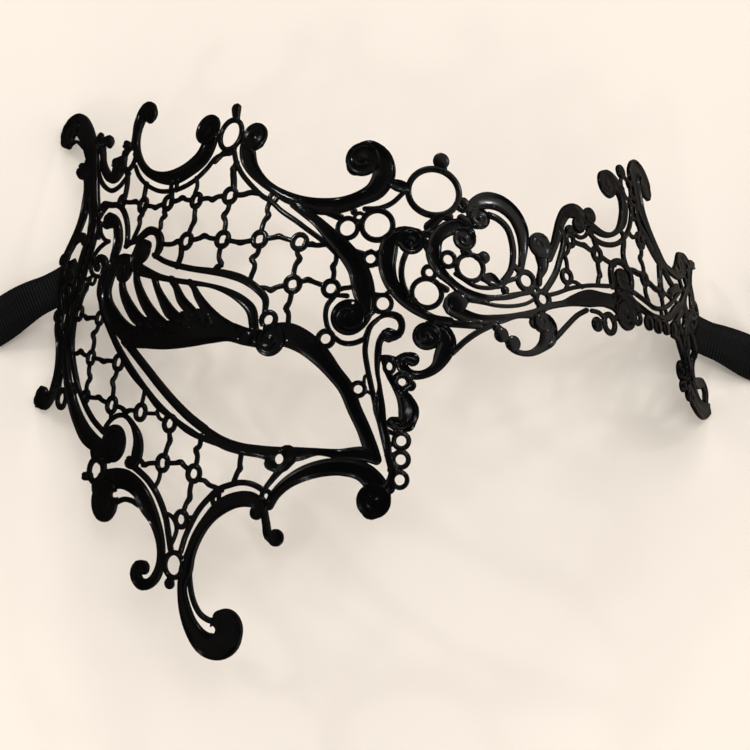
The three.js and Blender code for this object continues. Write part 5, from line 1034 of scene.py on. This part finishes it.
def ribbon(side, r):
    sx, sy, sz = r["start"]
    tx, ty = r["toward"]
    nx, ny = -ty * r["side"], tx * r["side"]          # towards the coil
    reach = r["run"] + 0.35 + math.sqrt(COIL_OUTER ** 2 - (COIL_LINE - WIDTH / 2) ** 2)
    pts, ups, gather = [], [], []
    s = -r["lead"]
    while s < reach:
        if s < 0:
            z = sz - s * r["rise"]
            z = sz + (-s) * r["rise"] * min(1.0, 0.35 + (-s) / 12)
        else:
            f = min(1.0, s / r["drop"])
            z = (sz - 0.5) * (1 - f) ** 2 * (1 + 2 * f) + 0.5
        a, b = r["twist"]
        q = min(1.0, max(0.0, (s - a) / (b - a)))
        q = q * q * (3 - 2 * q) * math.pi / 2
        z += (WIDTH / 2 - 0.15) * math.sin(q)
        pts.append((sx + tx * s, sy + ty * s, z))
        # across the ribbon: from crosswise to upright
        ups.append((-ty * math.cos(q) * r["side"], tx * math.cos(q) * r["side"], math.sin(q)))
        g = min(1.0, max(0.0, (s + 2.0) / 14.0))
        gather.append(0.80 + 0.20 * g * g * (3 - 2 * g))       # bunched a little where it goes through
        s += 1.4
    used = sum(math.dist(a, b) for a, b in zip(pts, pts[1:]))
    cx, cy = sx + tx * reach + nx * COIL_LINE, sy + ty * reach + ny * COIL_LINE
    rad, ang, left = COIL_LINE, 0.0, LENGTH - used
    z = pts[-1][2]
    last = pts[-1]
    while left > 0:
        # from the touching point, turning towards the coil's middle
        px = cx - nx * rad * math.cos(ang) + tx * rad * math.sin(ang)
        py = cy - ny * rad * math.cos(ang) + ty * rad * math.sin(ang)
        p = (px, py, WIDTH / 2 + 0.35)
        d = math.dist(p, last)
        if d > 0.3:
            pts.append(p)
            gather.append(1.0)
            ups.append((0, 0, 1))
            left -= d
            last = p
        step = 1.8 / rad
        ang += step
        rad = COIL_LINE - COIL_PITCH * ang / (2 * math.pi)
    # the strip: rounded edges, eight points round
    half = WIDTH / 2
    sec = [(-half, 0.0), (-half + 0.25, THICK / 2), (-half / 3, THICK / 2), (half / 3, THICK / 2), (half - 0.25, THICK / 2),
           (half, 0.0), (half - 0.25, -THICK / 2), (half / 3, -THICK / 2), (-half / 3, -THICK / 2), (-half + 0.25, -THICK / 2)]
    n, k = len(pts), len(sec)
    P = [Vector(p) for p in pts]
    verts, faces, run = [], [], [0.0]
    for i in range(n):
        t = (P[min(n - 1, i + 1)] - P[max(0, i - 1)]).normalized()
        a = Vector(ups[i])
        a = (a - t * a.dot(t)).normalized()
        b = t.cross(a)
        for s, w in sec:
            q = P[i] + a * (s * gather[i]) + b * w
            verts.append((q.x / 1000, q.y / 1000, max(q.z, 0.03) / 1000))
        if i:
            run.append(run[-1] + (P[i] - P[i - 1]).length)
    for i in range(n - 1):
        for j in range(k):
            p, q = i * k + j, i * k + (j + 1) % k
            faces.append((p, q, q + k, p + k))
    faces.append(tuple(range(k))[::-1])
    faces.append(tuple((n - 1) * k + j for j in range(k)))
    me = bpy.data.meshes.new(f"ribbon_{side}_strip")
    me.from_pydata(verts, [], faces)
    layer = me.uv_layers.new(name="run")
    for poly in me.polygons:
        for li in poly.loop_indices:
            vi = me.loops[li].vertex_index
            layer.data[li].uv = (run[vi // k], sec[vi % k][0])
    bm = bmesh.new()
    bm.from_mesh(me)
    bmesh.ops.recalc_face_normals(bm, faces=bm.faces)
    for f in bm.faces:
        f.smooth = True
    bm.to_mesh(me)
    bm.free()
    me.materials.append(grosgrain)
    ob = bpy.data.objects.new(f"ribbon_{side}_strip", me)
    bpy.context.scene.collection.objects.link(ob)
    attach(ob, "root")
    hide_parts(f"ribbon_{side}", f"ribbon_{side}_coil")
    i0 = min(range(n), key=lambda i: math.dist(pts[i], r["start"]))
    return ob

for side, r in RIBBONS.items():
    ribbon(side, r)

# ---- floor and light ---------------------------------------------------------------------------------------------------
floor_mat, N, L, bsdf = nodes_of("pale_paper")
tc = N.new("ShaderNodeTexCoord")
tone = N.new("ShaderNodeTexNoise")
tone.inputs["Scale"].default_value = 6
L.new(tc.outputs["Object"], tone.inputs["Vector"])
ramp = N.new("ShaderNodeValToRGB")
ramp.color_ramp.elements[0].color = (0.865, 0.796, 0.722, 1)
ramp.color_ramp.elements[1].color = (0.885, 0.816, 0.742, 1)
L.new(tone.outputs["Fac"], ramp.inputs["Fac"])
L.new(ramp.outputs["Color"], bsdf.inputs["Base Color"])
bsdf.inputs["Roughness"].default_value = 0.85
bpy.ops.mesh.primitive_plane_add(size=6, location=(0, 0, 0))
floor = bpy.context.object
floor.name = "floor"
floor.data.materials.append(floor_mat)
floor.visible_glossy = False    # the black enamel mirrors a darker room, not the sheet it lies on

scene = bpy.context.scene
worldm = bpy.data.worlds.new("studio")
scene.world = worldm
worldm.use_nodes = True
N, L = worldm.node_tree.nodes, worldm.node_tree.links
wc = N.new("ShaderNodeTexCoord")
dot = N.new("ShaderNodeVectorMath")
dot.operation = "DOT_PRODUCT"
axis = (REST @ (VIEW.transposed() @ Vector((0, 0.10, 1)))).normalized()
dot.inputs[1].default_value = axis[:]
L.new(wc.outputs["Generated"], dot.inputs[0])
wr = N.new("ShaderNodeValToRGB")
wr.color_ramp.interpolation = "EASE"
els = wr.color_ramp.elements
els[0].position, els[0].color = 0.0, (0.24, 0.212, 0.18, 1)
els[1].position, els[1].color = 1.0, (0.05, 0.05, 0.05, 1)
for p, c in ((0.25, (1.0, 0.958, 0.90, 1)), (0.60, (1.0, 0.958, 0.90, 1)), (0.80, (0.10, 0.098, 0.095, 1))):
    e = els.new(p)
    e.color = c
L.new(dot.outputs["Value"], wr.inputs["Fac"])
L.new(wr.outputs["Color"], N["Background"].inputs["Color"])
lp = N.new("ShaderNodeLightPath")
# what the enamel mirrors: a pale wall on the right, a dark room on the left
wall = N.new("ShaderNodeVectorMath")
wall.operation = "DOT_PRODUCT"
wall.inputs[1].default_value = (REST @ (VIEW.transposed() @ Vector((1, 0, 0)))).normalized()[:]
L.new(wc.outputs["Generated"], wall.inputs[0])
mirror = N.new("ShaderNodeMapRange")
mirror.inputs["From Min"].default_value, mirror.inputs["From Max"].default_value = -0.45, 0.95
mirror.inputs["To Min"].default_value, mirror.inputs["To Max"].default_value = 0.13, 1.1
L.new(wall.outputs["Value"], mirror.inputs["Value"])
ws = N.new("ShaderNodeMix")
ws.data_type = "FLOAT"
ws.inputs[2].default_value = 1.42
L.new(lp.outputs["Is Glossy Ray"], ws.inputs[0])
L.new(mirror.outputs["Result"], ws.inputs[3])
L.new(ws.outputs[0], N["Background"].inputs["Strength"])

def area(name, loc, target, size, power, color=(1, 1, 1)):
    d = bpy.data.lights.new(name, "AREA")
    d.shape = "RECTANGLE"
    d.size, d.size_y = size
    d.energy = power
    d.color = color
    o = bpy.data.objects.new(name, d)
    scene.collection.objects.link(o)
    o.location = loc
    o.rotation_euler = (Vector(target) - Vector(loc)).to_track_quat("-Z", "Y").to_euler()
    return o

area("key", (0.12, -0.12, 1.25), (0, 0, 0), (0.6, 0.5), 2.9, (0.97, 0.985, 1.0)).visible_glossy = False
area("spark_top", (0.10, -0.05, 1.20), (0, 0, 0), (0.10, 0.07), 0.3)
area("fill_front", (0.25, -0.95, 0.85), (0, 0, 0), (0.7, 0.7), 2.0, (1.0, 0.985, 0.96)).visible_glossy = False
area("spark_left", (-0.75, 0.45, 0.75), (0, 0, 0), (0.06, 0.06), 1.1)
area("spark_back", (0.10, 0.95, 0.70), (0, 0, 0), (0.25, 0.04), 1.0)
area("spark_front", (-0.35, -0.75, 0.75), (0, 0, 0), (0.06, 0.06), 0.9)
area("spark_right", (0.75, 0.55, 0.8), (0, 0, 0), (0.06, 0.06), 1.0)

scene.view_settings.view_transform = "Standard"

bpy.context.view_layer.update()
def plain(b):
    return [[float(x) for x in v] for v in b]
